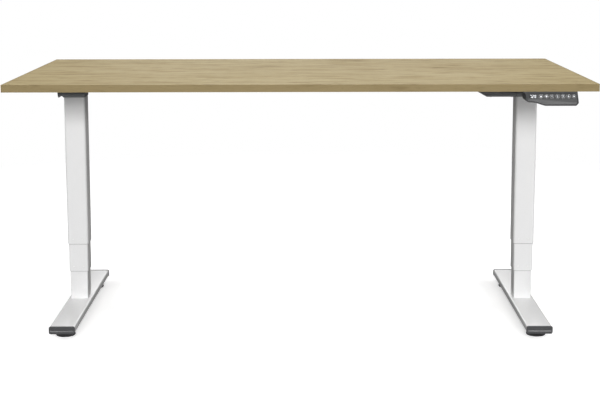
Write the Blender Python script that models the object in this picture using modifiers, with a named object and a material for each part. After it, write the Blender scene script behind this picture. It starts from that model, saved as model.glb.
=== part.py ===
"""Height adjustable standing desk with two three-stage columns, one gearmotor and a handset.

Metres, +Z up. The origin is on the floor under the middle of the tabletop, the user sits at -Y.
Every vertical size is stacked up from the floor, so the desk stands at its height at rest.
"""

import math

import bmesh
import bpy
from mathutils import Matrix, Vector

# Clearances
FIT_GAP = 0.0003            # between two pieces that rest on, or sit in, each other
SLIDE_CLEARANCE = 0.001     # all round between one column tube and the next
BORE_GAP = 0.0004           # round a shaft, stud or key in its hole

# Tabletop
TOP_LENGTH = 1.600
TOP_DEPTH = 0.800
TOP_THICKNESS = 0.020
EDGE_BAND = 0.0015
EDGE_CORNER = 0.003

# Feet and levelling glides
FOOT_CLEARANCE = 0.020      # floor to the underside of a foot
FOOT_LENGTH = 0.650         # over both end caps
FOOT_WIDTH = 0.071
FOOT_HEIGHT = 0.020
FOOT_WALL = 0.002
FOOT_CORNER = 0.004
CAP_FACE = 0.004
CAP_PROUD = 0.001
CAP_PLUG = 0.018
GLIDE_RADIUS = 0.0275
GLIDE_PAD = 0.008
GLIDE_NUT_RADIUS = 0.0075
GLIDE_NUT = 0.002
GLIDE_STUD_RADIUS = 0.004
GLIDE_STUD_IN_FOOT = 0.011
GLIDE_INSET = 0.062         # cap face to the glide's axis

# Columns: the outer tube hangs from the top, the inner tube stands on the foot
COLUMN_SPACING = 1.338
OUTER_WIDTH = 0.062
OUTER_DEPTH = 0.066
TUBE_WALL = 0.0015
OUTER_CORNER = 0.0075
OUTER_LENGTH = 0.443
INNER_SHOWING = 0.086       # inner tube seen below the middle tube at rest
MIDDLE_SHOWING = 0.084      # middle tube seen below the outer tube at rest
STROKE_DOWN = 0.120         # how far the top comes down from rest, half of it in each stage
TUBE_STOP = 0.013           # fully down: middle tube's upper end to the outer tube's
NUT_STOP = 0.0057           # fully down: inner tube's upper end to the spindle nut
SLEEVE_HEIGHT = 0.060
SLEEVE_LIP = 0.001          # how far the glide tabs reach below a tube's end
TAB_OFFSET = 0.0145         # centre line of a column to the middle of a glide tab
TAB_WIDTH = 0.009
STUD_RADIUS = 0.0022
STUD_RISE = 0.014           # a tube's lower end to its snap studs
STUD_PROUD = 0.0002
NUT_BLOCK = 0.014
FOOT_PLATE = 0.010

# Lifting gear inside a column
SPINDLE_RADIUS = 0.006
JOURNAL_RADIUS = 0.004
SCREW_TUBE_RADIUS = 0.011
SCREW_TUBE_BORE = 0.007
SCREW_STOP = 0.0047          # fully down: the spindle's and screw tube's lower ends to the foot plate
BEARING_RADIUS = 0.011
BEARING_HEIGHT = 0.006

# Gearbox housing on top of a column, and the bevel gears in it
HEAD_HEIGHT = 0.056         # outer tube's upper end to the underside of the top
HEAD_WALL = 0.003
HEAD_SHOULDER = 0.003       # how far the housing stands out in front of and behind the outer tube
HEAD_OVERHANG = 0.0235      # outer tube's side to the housing's outer upper edge
HEAD_SLANT = 0.0075         # how much its outer side leans in towards the bottom
HEAD_LIP_WIDTH = 0.006
HEAD_LIP_DROP = 0.0045
HEAD_FLOOR_RISE = 0.0035    # the housing's floor above the outer tube's upper end
SHAFT_DROP = 0.026          # underside of the top to the drive shaft's axis
SHAFT_FLATS = 0.007
GEAR_TEETH = 12
GEAR_NEAR = 0.0068          # bevel gear's small end, from the crossing of the axes
GEAR_FAR = 0.0135
GEAR_BACKLASH = 0.0003

# Side arms, crossbars and gearmotor
ARM_LENGTH = 0.560
ARM_WALL = 0.0025
ARM_HEIGHT = 0.038
ARM_TIP_HEIGHT = 0.012
ARM_LEVEL_HALF = 0.045      # half of the arm's stretch that isn't tapered
CROSSBAR_HEIGHT = 0.036
CROSSBAR_FLANGE = 0.020
CROSSBAR_WALL = 0.002
CROSSBAR_GAP = 0.004        # gearbox housing's front or rear to a crossbar's inner face
MOTOR_HOUSING_LENGTH = 0.183
MOTOR_HOUSING_SLOPE = 0.096  # how much shorter the housing is at its bottom
MOTOR_HOUSING_STEP = 0.003   # its front and rear lie this far inside the gearbox housing's
MOTOR_HOUSING_WALL = 0.0015
MOTOR_RADIUS = 0.022
MOTOR_LENGTH = 0.078
MOTOR_FROM_ARM = 0.008

# Control box
CONTROL_LENGTH = 0.240
CONTROL_DEPTH = 0.110
CONTROL_HEIGHT = 0.032
CONTROL_WALL = 0.002
CONTROL_X = -0.220
CONTROL_Y = 0.155
CONTROL_LID = 0.0028
CONTROL_EAR = 0.016
SOCKET_WIDTH = 0.016
SOCKET_HEIGHT = 0.010
SOCKET_PITCH = 0.026
SOCKET_COUNT = 4
INLET_WIDTH = 0.028
INLET_HEIGHT = 0.018

# Handset under the front edge
HANDSET_END = 0.0550        # right end of the top to the handset
HANDSET_DEPTH = 0.058
HANDSET_SET_BACK = 0.0005
HANDSET_RIM = 0.0037
HANDSET_PANEL = 0.0022
PANEL_SET_BACK = 0.0004
KEY_NAMES = ("up", "down", "one", "two", "three", "four", "memory")
KEY_RADIUS = 0.0060
KEY_DEPTH = 0.004
KEY_SPACING = 0.00267       # one key's edge to the next
FIRST_KEY = 0.0490          # handset's left end to the first key's axis
HANDSET_MARGIN = 0.00768    # last key's edge to the handset's right end
KEY_DROP = 0.0127           # handset's upper face to the keys' axes
DISPLAY_CENTRE = 0.0273
DISPLAY_WIDTH = 0.0188
DISPLAY_HEIGHT = 0.0094
DISPLAY_DEPTH = 0.004
KEY_PITCH = 2 * KEY_RADIUS + KEY_SPACING
KEY_PLACES = [FIRST_KEY + i * KEY_PITCH for i in range(len(KEY_NAMES))]
HANDSET_WIDTH = KEY_PLACES[-1] + KEY_RADIUS + HANDSET_MARGIN

# The handset's shape seen from the front, as corners (across, down, corner radius)
HANDSET_SHOULDER = ((0.0000, 0.0000, 0.0000), (0.0083, 0.0050, 0.0020))
HANDSET_FACE_START = (0.0080, 0.0000, 0.0000)
HANDSET_OUTLINE = (
    (0.0094, 0.0223, 0.0050),
    (0.0134, 0.0274, 0.0060),
    (0.0359, 0.0304, 0.0200),
    (0.0605, 0.0381, 0.0200),
    (HANDSET_WIDTH - 0.0062, 0.0381, 0.0060),
    (HANDSET_WIDTH, 0.0304, 0.0050),
    (HANDSET_WIDTH - 0.0043, 0.0000, 0.0000),
)

# Heights and places that follow from them
FOOT_TOP = FOOT_CLEARANCE + FOOT_HEIGHT
INNER_BOTTOM = FOOT_TOP + FIT_GAP
MIDDLE_BOTTOM = FOOT_TOP + INNER_SHOWING
OUTER_BOTTOM = MIDDLE_BOTTOM + MIDDLE_SHOWING
OUTER_TOP = OUTER_BOTTOM + OUTER_LENGTH
MIDDLE_TOP = OUTER_TOP - STROKE_DOWN / 2 - TUBE_STOP
INNER_TOP = MIDDLE_TOP - STROKE_DOWN / 2 - NUT_BLOCK - NUT_STOP
SCREW_END = INNER_BOTTOM + FOOT_PLATE + SCREW_STOP
UNDERSIDE = OUTER_TOP + HEAD_HEIGHT
STEEL_TOP = UNDERSIDE - FIT_GAP
DESK_HEIGHT = UNDERSIDE + TOP_THICKNESS
SHAFT_HEIGHT = UNDERSIDE - SHAFT_DROP
HEAD_DEPTH = OUTER_DEPTH + 2 * HEAD_SHOULDER
HEAD_REACH = OUTER_WIDTH / 2 + HEAD_OVERHANG
HEAD_BOTTOM = OUTER_TOP + FIT_GAP
HEAD_TOP = STEEL_TOP - ARM_WALL - FIT_GAP
HEAD_FLOOR = OUTER_TOP + HEAD_FLOOR_RISE
TUBE_STEP = TUBE_WALL + SLIDE_CLEARANCE
COLUMN_X = COLUMN_SPACING / 2
FOOT_HALF_PITCH = FOOT_LENGTH / 2 - GLIDE_INSET
ARM_INNER = OUTER_WIDTH / 2 + ARM_WALL + FIT_GAP   # column axis to the arm's inner face
ARM_OUTER = HEAD_REACH + FIT_GAP + ARM_WALL        # column axis to the arm's outer face
MOTOR_HOUSING_DEPTH = HEAD_DEPTH - 2 * MOTOR_HOUSING_STEP
CROSSBAR_OFFSET = HEAD_DEPTH / 2 + CROSSBAR_GAP    # column axis to a crossbar's inner face
CUT_OVER = 0.002                                   # how far a cutter runs past what it cuts

# Local XY outlines are extruded along local Z, which each plane's matrix turns into place
PLANES = {
    "XY": Matrix.Identity(4),
    "XZ": Matrix(((1, 0, 0, 0), (0, 0, -1, 0), (0, 1, 0, 0), (0, 0, 0, 1))),
    "YZ": Matrix(((0, 0, 1, 0), (1, 0, 0, 0), (0, 1, 0, 0), (0, 0, 0, 1))),
}
AXES = {
    "X": Matrix.Rotation(math.radians(90), 4, "Y"),
    "Y": Matrix.Rotation(math.radians(90), 4, "X"),
    "Z": Matrix.Identity(4),
}

FINISHES = {
    "oak_board": ((0.50, 0.40, 0.24), 0.55, 0.0),
    "oak_edge": ((0.34, 0.27, 0.15), 0.55, 0.0),
    "white_steel": ((0.85, 0.85, 0.85), 0.45, 0.0),
    "white_plastic": ((0.80, 0.80, 0.79), 0.40, 0.0),
    "dark_steel": ((0.06, 0.06, 0.065), 0.50, 0.0),
    "dark_plastic": ((0.08, 0.08, 0.08), 0.55, 0.0),
    "bright_steel": ((0.60, 0.60, 0.60), 0.30, 1.0),
    "gear_brass": ((0.70, 0.52, 0.25), 0.35, 1.0),
    "display": ((0.75, 0.75, 0.75), 0.20, 0.0),
    "rubber": ((0.05, 0.05, 0.05), 0.80, 0.0),
}


def clear_scene():
    for thing in list(bpy.data.objects):
        bpy.data.objects.remove(thing)


def make_collection(name):
    collection = bpy.data.collections.new(name)
    bpy.context.scene.collection.children.link(collection)
    return collection


def make_finishes():
    made = {}
    for name, (colour, roughness, metallic) in FINISHES.items():
        finish = bpy.data.materials.new(name)
        finish.use_nodes = True
        shader = finish.node_tree.nodes["Principled BSDF"]
        shader.inputs["Base Color"].default_value = (*colour, 1.0)
        shader.inputs["Roughness"].default_value = roughness
        shader.inputs["Metallic"].default_value = metallic
        made[name] = finish
    return made


clear_scene()
DESK = make_collection("standing_desk")
CUTTERS = make_collection("cutters")
MADE_FINISHES = make_finishes()


# Shapes

def rounded(points, steps=3):
    """A closed outline whose corners, given as (x, y, radius), are arcs of `steps` chords."""
    outline = []
    count = len(points)
    for i, (x, y, radius) in enumerate(points):
        corner = Vector((x, y))
        before = (Vector(points[i - 1][:2]) - corner).normalized()
        after = (Vector(points[(i + 1) % count][:2]) - corner).normalized()
        if radius <= 0:
            outline.append(tuple(corner))
            continue
        half = before.angle(after) / 2
        start = corner + before * (radius / math.tan(half))
        end = corner + after * (radius / math.tan(half))
        centre = corner + (before + after).normalized() * (radius / math.sin(half))
        first, last = start - centre, end - centre
        sweep = first.angle_signed(last)
        for step in range(steps + 1):
            turn = Matrix.Rotation(-sweep * step / steps, 2)
            outline.append(tuple(centre + turn @ first))
    return outline


def rounded_rectangle(width, depth, radius, steps=3):
    x, y = width / 2, depth / 2
    return rounded(((-x, -y, radius), (x, -y, radius), (x, y, radius), (-x, y, radius)), steps)


def inset(points, distance):
    """The same corners moved inwards, each side by `distance`, for a counterclockwise outline."""
    count = len(points)
    moved = []
    for i, (x, y, radius) in enumerate(points):
        corner = Vector((x, y))
        before = (corner - Vector(points[i - 1][:2])).normalized()
        after = (Vector(points[(i + 1) % count][:2]) - corner).normalized()
        normal_before = Vector((-before.y, before.x))
        normal_after = Vector((-after.y, after.x))
        mean = (normal_before + normal_after).normalized()
        place = corner + mean * (distance / mean.dot(normal_after))
        bends_out = normal_before.dot(after) > 0
        moved.append((place.x, place.y, max(radius - distance, 0.0) if bends_out else radius + distance))
    return moved


def circle(radius, segments=16, centre=(0.0, 0.0)):
    turns = [2 * math.pi * i / segments for i in range(segments)]
    return [(centre[0] + radius * math.cos(t), centre[1] + radius * math.sin(t)) for t in turns]


def gear_outline(teeth, root, tip):
    """A toothed outline: each tooth takes four points, two at the root and two at the tip."""
    pitch = 2 * math.pi / teeth
    shape = ((0.00, root), (0.45, root), (0.60, tip), (0.85, tip))
    points = []
    for tooth in range(teeth):
        for share, radius in shape:
            turn = pitch * (tooth + share)
            points.append((radius * math.cos(turn), radius * math.sin(turn)))
    return points


# Objects

def keep(name, mesh, finish, location, parent):
    thing = bpy.data.objects.new(name, mesh)
    thing.location = location
    thing.parent = parent
    if finish is None:
        CUTTERS.objects.link(thing)
        thing.hide_render = True
        thing.display_type = "WIRE"
    else:
        DESK.objects.link(thing)
        mesh.materials.append(MADE_FINISHES[finish])
    return thing


def mesh_from(form, name):
    bmesh.ops.recalc_face_normals(form, faces=form.faces)
    mesh = bpy.data.meshes.new(name)
    form.to_mesh(mesh)
    form.free()
    return mesh


def empty(name, location=(0.0, 0.0, 0.0), parent=None):
    mark = bpy.data.objects.new(name, None)
    mark.location = location
    mark.parent = parent
    DESK.objects.link(mark)
    return mark


def block(name, low, high, finish=None, parent=None, origin=(0.0, 0.0, 0.0)):
    """A box between two corners, which are given from the origin."""
    low, high = Vector(low), Vector(high)
    form = bmesh.new()
    size = Matrix.Diagonal((*(high - low), 1.0))
    bmesh.ops.create_cube(form, size=1.0, matrix=Matrix.Translation((low + high) / 2) @ size)
    return keep(name, mesh_from(form, name), finish, origin, parent)


def rod(name, radius, start, end, axis="Z", segments=16, finish=None, parent=None,
        origin=(0.0, 0.0, 0.0), beside=(0.0, 0.0)):
    """A round bar from start to end along an axis; `beside` moves it in the other two directions."""
    form = bmesh.new()
    bmesh.ops.create_cone(form, cap_ends=True, segments=segments, radius1=radius, radius2=radius,
                          depth=end - start)
    middle = (start + end) / 2
    place = {
        "X": (middle, beside[0], beside[1]),
        "Y": (beside[0], middle, beside[1]),
        "Z": (beside[0], beside[1], middle),
    }[axis]
    bmesh.ops.transform(form, matrix=Matrix.Translation(place) @ AXES[axis], verts=form.verts)
    return keep(name, mesh_from(form, name), finish, origin, parent)


def plate(name, loops, low, high, plane="XY", finish=None, parent=None, origin=(0.0, 0.0, 0.0)):
    """A flat outline, with any holes as further loops, extruded between two places on its normal."""
    curve = bpy.data.curves.new(name, "CURVE")
    curve.dimensions = "2D"
    curve.fill_mode = "BOTH"
    curve.extrude = (high - low) / 2
    for loop in loops:
        spline = curve.splines.new("POLY")
        spline.points.add(len(loop) - 1)
        for point, (x, y) in zip(spline.points, loop):
            point.co = (x, y, 0.0, 1.0)
        spline.use_cyclic_u = True
    guide = bpy.data.objects.new(name + "_outline", curve)
    CUTTERS.objects.link(guide)
    bpy.context.view_layer.update()
    flat = bpy.data.meshes.new_from_object(guide.evaluated_get(bpy.context.evaluated_depsgraph_get()))
    bpy.data.objects.remove(guide)
    form = bmesh.new()
    form.from_mesh(flat)
    bmesh.ops.remove_doubles(form, verts=form.verts, dist=1e-6)
    middle = (low + high) / 2
    along = Matrix.Translation((0.0, 0.0, -middle if plane == "XZ" else middle))
    bmesh.ops.transform(form, matrix=PLANES[plane] @ along, verts=form.verts)
    return keep(name, mesh_from(form, name), finish, origin, parent)


def turned(name, profile, finish, parent=None, origin=(0.0, 0.0, 0.0), steps=20, axis="Z"):
    """A profile of (radius, height) points, outer side running down, turned round an axis."""
    form = bmesh.new()
    points = [form.verts.new((radius, 0.0, height)) for radius, height in profile]
    for first, second in zip(points, points[1:]):
        form.edges.new((first, second))
    mesh = bpy.data.meshes.new(name)
    form.to_mesh(mesh)
    form.free()
    thing = keep(name, mesh, finish, origin, parent)
    thing.matrix_local = Matrix.Translation(origin) @ AXES[axis]
    screw = thing.modifiers.new("turn", "SCREW")
    screw.steps = screw.render_steps = steps
    screw.use_merge_vertices = True
    screw.merge_threshold = 1e-5
    return thing


def ring(name, outer, bore, start, end, finish, parent=None, origin=(0.0, 0.0, 0.0), segments=16):
    loops = (circle(outer, segments), circle(bore, segments))
    return plate(name, loops, start, end, "XY", finish, parent, origin)


def bevel_gear(name, finish, parent, origin, turn, bore):
    """A bevel gear for two shafts of one speed that cross at the origin, its bore a clean hole.

    Its pitch cone stands on the origin and widens along local +Z, which `turn` points outwards.
    """
    tip_far = GEAR_FAR - GEAR_BACKLASH
    form = bmesh.new()
    outline = gear_outline(GEAR_TEETH, tip_far * 0.8, tip_far)
    wide = form.faces.new([form.verts.new((x, y, GEAR_FAR)) for x, y in outline])
    grown = bmesh.ops.extrude_face_region(form, geom=[wide])["geom"]
    narrow = [item for item in grown if isinstance(item, bmesh.types.BMVert)]
    shrink = (GEAR_NEAR - GEAR_BACKLASH) / tip_far
    for point in narrow:
        point.co = (point.co.x * shrink, point.co.y * shrink, GEAR_NEAR)
    bmesh.ops.triangulate(form, faces=[face for face in form.faces if len(face.verts) > 4])
    bmesh.ops.transform(form, matrix=turn, verts=form.verts)
    gear = keep(name, mesh_from(form, name), finish, origin, parent)
    hole = rod(name + "_bore", bore, GEAR_NEAR - CUT_OVER, GEAR_FAR + CUT_OVER, parent=parent, origin=origin)
    hole.data.transform(turn)
    cut(gear, hole)
    return gear


def combine(target, other, operation):
    change = target.modifiers.new(other.name, "BOOLEAN")
    change.operation = operation
    change.object = other
    change.solver = "EXACT"


def cut(target, *cutters):
    for cutter in cutters:
        combine(target, cutter, "DIFFERENCE")


def join(target, *others):
    for other in others:
        combine(target, other, "UNION")


def round_edges(thing, width, segments=2):
    bevel = thing.modifiers.new("rounded_edges", "BEVEL")
    bevel.width = width
    bevel.segments = segments
    bevel.limit_method = "ANGLE"


def shade_round(thing):
    thing.data.shade_smooth()
    thing.data.set_sharp_from_angle(angle=math.radians(35))


# Tabletop

def make_tabletop(top):
    half_x, half_y = TOP_LENGTH / 2, TOP_DEPTH / 2
    board_gap = EDGE_BAND + FIT_GAP
    block("tabletop_board", (board_gap - half_x, board_gap - half_y, UNDERSIDE),
          (half_x - board_gap, half_y - board_gap, DESK_HEIGHT), "oak_board", top)
    outside = rounded_rectangle(TOP_LENGTH, TOP_DEPTH, EDGE_CORNER)
    inside = rounded_rectangle(TOP_LENGTH - 2 * EDGE_BAND, TOP_DEPTH - 2 * EDGE_BAND, 0.0)
    plate("edge_band", (outside, inside), UNDERSIDE, DESK_HEIGHT, "XY", "oak_edge", top)


# Columns

def tube_loops(step):
    """Outer and inner outline of the column's tubes: step 0 is the outer one, 1 the middle, 2 the inner."""
    width = OUTER_WIDTH - 2 * TUBE_STEP * step
    depth = OUTER_DEPTH - 2 * TUBE_STEP * step
    corner = max(OUTER_CORNER - TUBE_STEP * step, 0.0012)
    bore_corner = max(corner - TUBE_WALL, 0.0)
    outside = rounded_rectangle(width, depth, corner)
    inside = rounded_rectangle(width - 2 * TUBE_WALL, depth - 2 * TUBE_WALL, bore_corner)
    return outside, inside, (width - 2 * TUBE_WALL, depth - 2 * TUBE_WALL), bore_corner


def stud_cutters(name, bottom, reach, radius, column):
    """Four short bars through the front and rear walls, for the holes or for the studs in them."""
    bars = []
    for face, side in (("front", -1), ("rear", 1)):
        for hand, across in (("a", -TAB_OFFSET), ("b", TAB_OFFSET)):
            near, far = sorted((side * reach[0], side * reach[1]))
            bars.append(rod(f"{name}_{face}_{hand}", radius, near, far, "Y", 10, None, column,
                            beside=(across, bottom + STUD_RISE)))
    return bars


def make_tube(name, step, bottom, top, column, studs):
    outside, inside, clear, corner = tube_loops(step)
    tube = plate(name, (outside, inside), bottom, top, "XY", "white_steel", column)
    if studs:
        half_depth = clear[1] / 2
        reach = (half_depth - CUT_OVER, half_depth + TUBE_WALL + CUT_OVER)
        cut(tube, *stud_cutters(name + "_hole", bottom, reach, STUD_RADIUS + BORE_GAP, column))
    shade_round(tube)
    return tube


def make_sleeve(name, step, bottom, column):
    """Plastic glide sleeve in a tube's lower end: a thin ring with tabs below, and studs into the wall."""
    clear, corner = tube_loops(step)[2:]
    outer = (clear[0] - 2 * FIT_GAP, clear[1] - 2 * FIT_GAP)
    thickness = SLIDE_CLEARANCE - 2 * FIT_GAP
    loops = (
        rounded_rectangle(*outer, max(corner - FIT_GAP, 0.0)),
        rounded_rectangle(outer[0] - 2 * thickness, outer[1] - 2 * thickness,
                          max(corner - FIT_GAP - thickness, 0.0)),
    )
    low, high = bottom - SLEEVE_LIP, bottom + SLEEVE_HEIGHT
    sleeve = plate(name, loops, low, high, "XY", "white_plastic", column)
    notch_top = bottom + SLEEVE_LIP
    near, far = TAB_OFFSET - TAB_WIDTH / 2, TAB_OFFSET + TAB_WIDTH / 2
    wide, deep = outer[0] / 2 + CUT_OVER, outer[1] / 2 + CUT_OVER
    cut_low = low - CUT_OVER
    cut(sleeve, block(name + "_notch_x", (-near, -deep, cut_low), (near, deep, notch_top), None, column))
    cut(sleeve, block(name + "_notch_y", (-wide, -near, cut_low), (wide, near, notch_top), None, column))
    for i, (x, y) in enumerate(((-1, -1), (1, -1), (1, 1), (-1, 1))):
        corners = sorted((x * far, x * wide)), sorted((y * far, y * deep))
        cut(sleeve, block(f"{name}_notch_{i}", (corners[0][0], corners[1][0], cut_low),
                          (corners[0][1], corners[1][1], notch_top), None, column))
    half_depth = outer[1] / 2
    reach = (half_depth - thickness / 2, half_depth + FIT_GAP + TUBE_WALL + STUD_PROUD)
    join(sleeve, *stud_cutters(name + "_stud", bottom, reach, STUD_RADIUS, column))
    return sleeve


def make_nut_block(name, step, top, bore, column):
    clear, corner = tube_loops(step)[2:]
    loops = (
        rounded_rectangle(clear[0] - 2 * FIT_GAP, clear[1] - 2 * FIT_GAP, max(corner - FIT_GAP, 0.0)),
        circle(bore + FIT_GAP),
    )
    return plate(name, loops, top - NUT_BLOCK, top, "XY", "dark_plastic", column)


def make_column(side, hand, top, base):
    """One column: side is -1 for the left and 1 for the right, hand is the word for it."""
    hanging = empty(f"hanging_{hand}", (side * COLUMN_X, 0.0, 0.0), top)
    standing = empty(f"standing_{hand}", (side * COLUMN_X, 0.0, 0.0), base)
    sliding = empty(f"sliding_{hand}", (side * COLUMN_X, 0.0, 0.0))

    make_tube(f"outer_tube_{hand}", 0, OUTER_BOTTOM, OUTER_TOP, hanging, True)
    make_sleeve(f"outer_glide_sleeve_{hand}", 0, OUTER_BOTTOM, hanging)
    make_tube(f"middle_tube_{hand}", 1, MIDDLE_BOTTOM, MIDDLE_TOP, sliding, True)
    make_sleeve(f"middle_glide_sleeve_{hand}", 1, MIDDLE_BOTTOM, sliding)
    make_tube(f"inner_tube_{hand}", 2, INNER_BOTTOM, INNER_TOP, standing, False)

    make_nut_block(f"spindle_nut_{hand}", 1, MIDDLE_TOP, SPINDLE_RADIUS, sliding)
    make_nut_block(f"screw_tube_nut_{hand}", 2, INNER_TOP, SCREW_TUBE_RADIUS, standing)
    clear, corner = tube_loops(2)[2:]
    plate(f"foot_plate_{hand}",
          (rounded_rectangle(clear[0] - 2 * FIT_GAP, clear[1] - 2 * FIT_GAP, max(corner - FIT_GAP, 0.0)),),
          INNER_BOTTOM, INNER_BOTTOM + FOOT_PLATE, "XY", "bright_steel", standing)

    ring(f"screw_tube_{hand}", SCREW_TUBE_RADIUS, SCREW_TUBE_BORE, SCREW_END + STROKE_DOWN / 2,
         MIDDLE_TOP - NUT_BLOCK - FIT_GAP, "bright_steel", sliding)
    shoulder = OUTER_TOP - FIT_GAP
    journal_top = SHAFT_HEIGHT - GEAR_NEAR
    spindle = turned(f"spindle_{hand}", (
        (0.0, journal_top),
        (JOURNAL_RADIUS, journal_top),
        (JOURNAL_RADIUS, shoulder),
        (SPINDLE_RADIUS, shoulder),
        (SPINDLE_RADIUS, SCREW_END + STROKE_DOWN),
        (0.0, SCREW_END + STROKE_DOWN),
    ), "bright_steel", hanging)
    shade_round(spindle)
    ring(f"spindle_bearing_{hand}", BEARING_RADIUS, JOURNAL_RADIUS + FIT_GAP, HEAD_FLOOR + FIT_GAP,
         HEAD_FLOOR + FIT_GAP + BEARING_HEIGHT, "bright_steel", hanging)
    crossing = (0.0, 0.0, SHAFT_HEIGHT)
    bevel_gear(f"spindle_gear_{hand}", "gear_brass", hanging, crossing,
               Matrix.Rotation(math.pi, 4, "X"), JOURNAL_RADIUS + FIT_GAP)
    inwards = Matrix.Rotation(-side * math.pi / 2, 4, "Y") @ Matrix.Rotation(math.pi / GEAR_TEETH, 4, "Z")
    bevel_gear(f"shaft_gear_{hand}", "gear_brass", hanging, crossing, inwards,
               SHAFT_FLATS / math.sqrt(3) + FIT_GAP)
    make_gearbox_housing(side, hand, hanging)
    make_side_arm(side, hand, hanging)


def make_gearbox_housing(side, hand, hanging):
    """Open-topped housing whose outer side leans in and ends in a small lip."""
    inner_side = -OUTER_WIDTH / 2
    lip_outer = HEAD_REACH - HEAD_SLANT
    lip_inner = lip_outer - HEAD_LIP_WIDTH
    lip_top = HEAD_BOTTOM + HEAD_LIP_DROP
    corners = (
        (inner_side, HEAD_BOTTOM),
        (OUTER_WIDTH / 2 - FIT_GAP, HEAD_BOTTOM),
        (OUTER_WIDTH / 2 + HEAD_LIP_DROP, lip_top),
        (lip_inner, lip_top),
        (lip_inner + HEAD_LIP_DROP / 2, HEAD_BOTTOM),
        (lip_outer, HEAD_BOTTOM),
        (HEAD_REACH, HEAD_TOP),
        (inner_side, HEAD_TOP),
    )
    housing = plate(f"gearbox_housing_{hand}", ([(side * x, z) for x, z in corners],),
                    -HEAD_DEPTH / 2, HEAD_DEPTH / 2, "XZ", "dark_steel", hanging)
    cavity_x = sorted((side * (inner_side + HEAD_WALL), side * OUTER_WIDTH / 2))
    cavity_y = HEAD_DEPTH / 2 - HEAD_WALL
    cut(housing,
        block(f"gear_space_{hand}", (cavity_x[0], -cavity_y, HEAD_FLOOR),
              (cavity_x[1], cavity_y, HEAD_TOP + CUT_OVER), None, hanging),
        rod(f"journal_hole_{hand}", JOURNAL_RADIUS + BORE_GAP, HEAD_BOTTOM - CUT_OVER,
            HEAD_FLOOR + CUT_OVER, parent=hanging),
        rod(f"shaft_hole_{hand}", SHAFT_FLATS / math.sqrt(3) + BORE_GAP,
            *sorted((side * (inner_side - CUT_OVER), side * (inner_side + HEAD_WALL + CUT_OVER))),
            axis="X", parent=hanging, beside=(0.0, SHAFT_HEIGHT)))
    return housing


def make_side_arm(side, hand, hanging):
    """Folded channel that carries the top: flat web above, two flanges that taper to the ends."""
    half = ARM_LENGTH / 2
    side_view = (
        (-half, STEEL_TOP),
        (-half, UNDERSIDE - ARM_TIP_HEIGHT),
        (-ARM_LEVEL_HALF, UNDERSIDE - ARM_HEIGHT),
        (ARM_LEVEL_HALF, UNDERSIDE - ARM_HEIGHT),
        (half, UNDERSIDE - ARM_TIP_HEIGHT),
        (half, STEEL_TOP),
    )
    faces = sorted((-side * ARM_INNER, side * ARM_OUTER))
    arm = plate(f"side_arm_{hand}", (side_view,), *faces, "YZ", "dark_steel", hanging)
    deep = UNDERSIDE - ARM_HEIGHT - CUT_OVER
    web = STEEL_TOP - ARM_WALL
    cut(arm, block(f"arm_channel_{hand}", (faces[0] + ARM_WALL, -half - CUT_OVER, deep),
                   (faces[1] - ARM_WALL, half + CUT_OVER, web), None, hanging))
    inner_flange = sorted((-side * (ARM_INNER + CUT_OVER), -side * (ARM_INNER - ARM_WALL - CUT_OVER)))
    window = HEAD_DEPTH / 2 + FIT_GAP
    cut(arm, block(f"arm_window_{hand}", (inner_flange[0], -window, deep),
                   (inner_flange[1], window, web), None, hanging))
    return arm


# Crossbars, gearmotor and drive shaft

def make_crossbars(top):
    reach = COLUMN_X - ARM_INNER - FIT_GAP
    low = STEEL_TOP - CROSSBAR_HEIGHT
    near, far = CROSSBAR_OFFSET, CROSSBAR_OFFSET + CROSSBAR_FLANGE
    for place, side in (("front", -1), ("rear", 1)):
        channel = (
            (near, STEEL_TOP),
            (far, STEEL_TOP),
            (far, STEEL_TOP - CROSSBAR_WALL),
            (near + CROSSBAR_WALL, STEEL_TOP - CROSSBAR_WALL),
            (near + CROSSBAR_WALL, low + CROSSBAR_WALL),
            (far, low + CROSSBAR_WALL),
            (far, low),
            (near, low),
        )
        plate(f"crossbar_{place}", ([(side * y, z) for y, z in channel],), -reach, reach, "YZ",
              "dark_steel", top)


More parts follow.
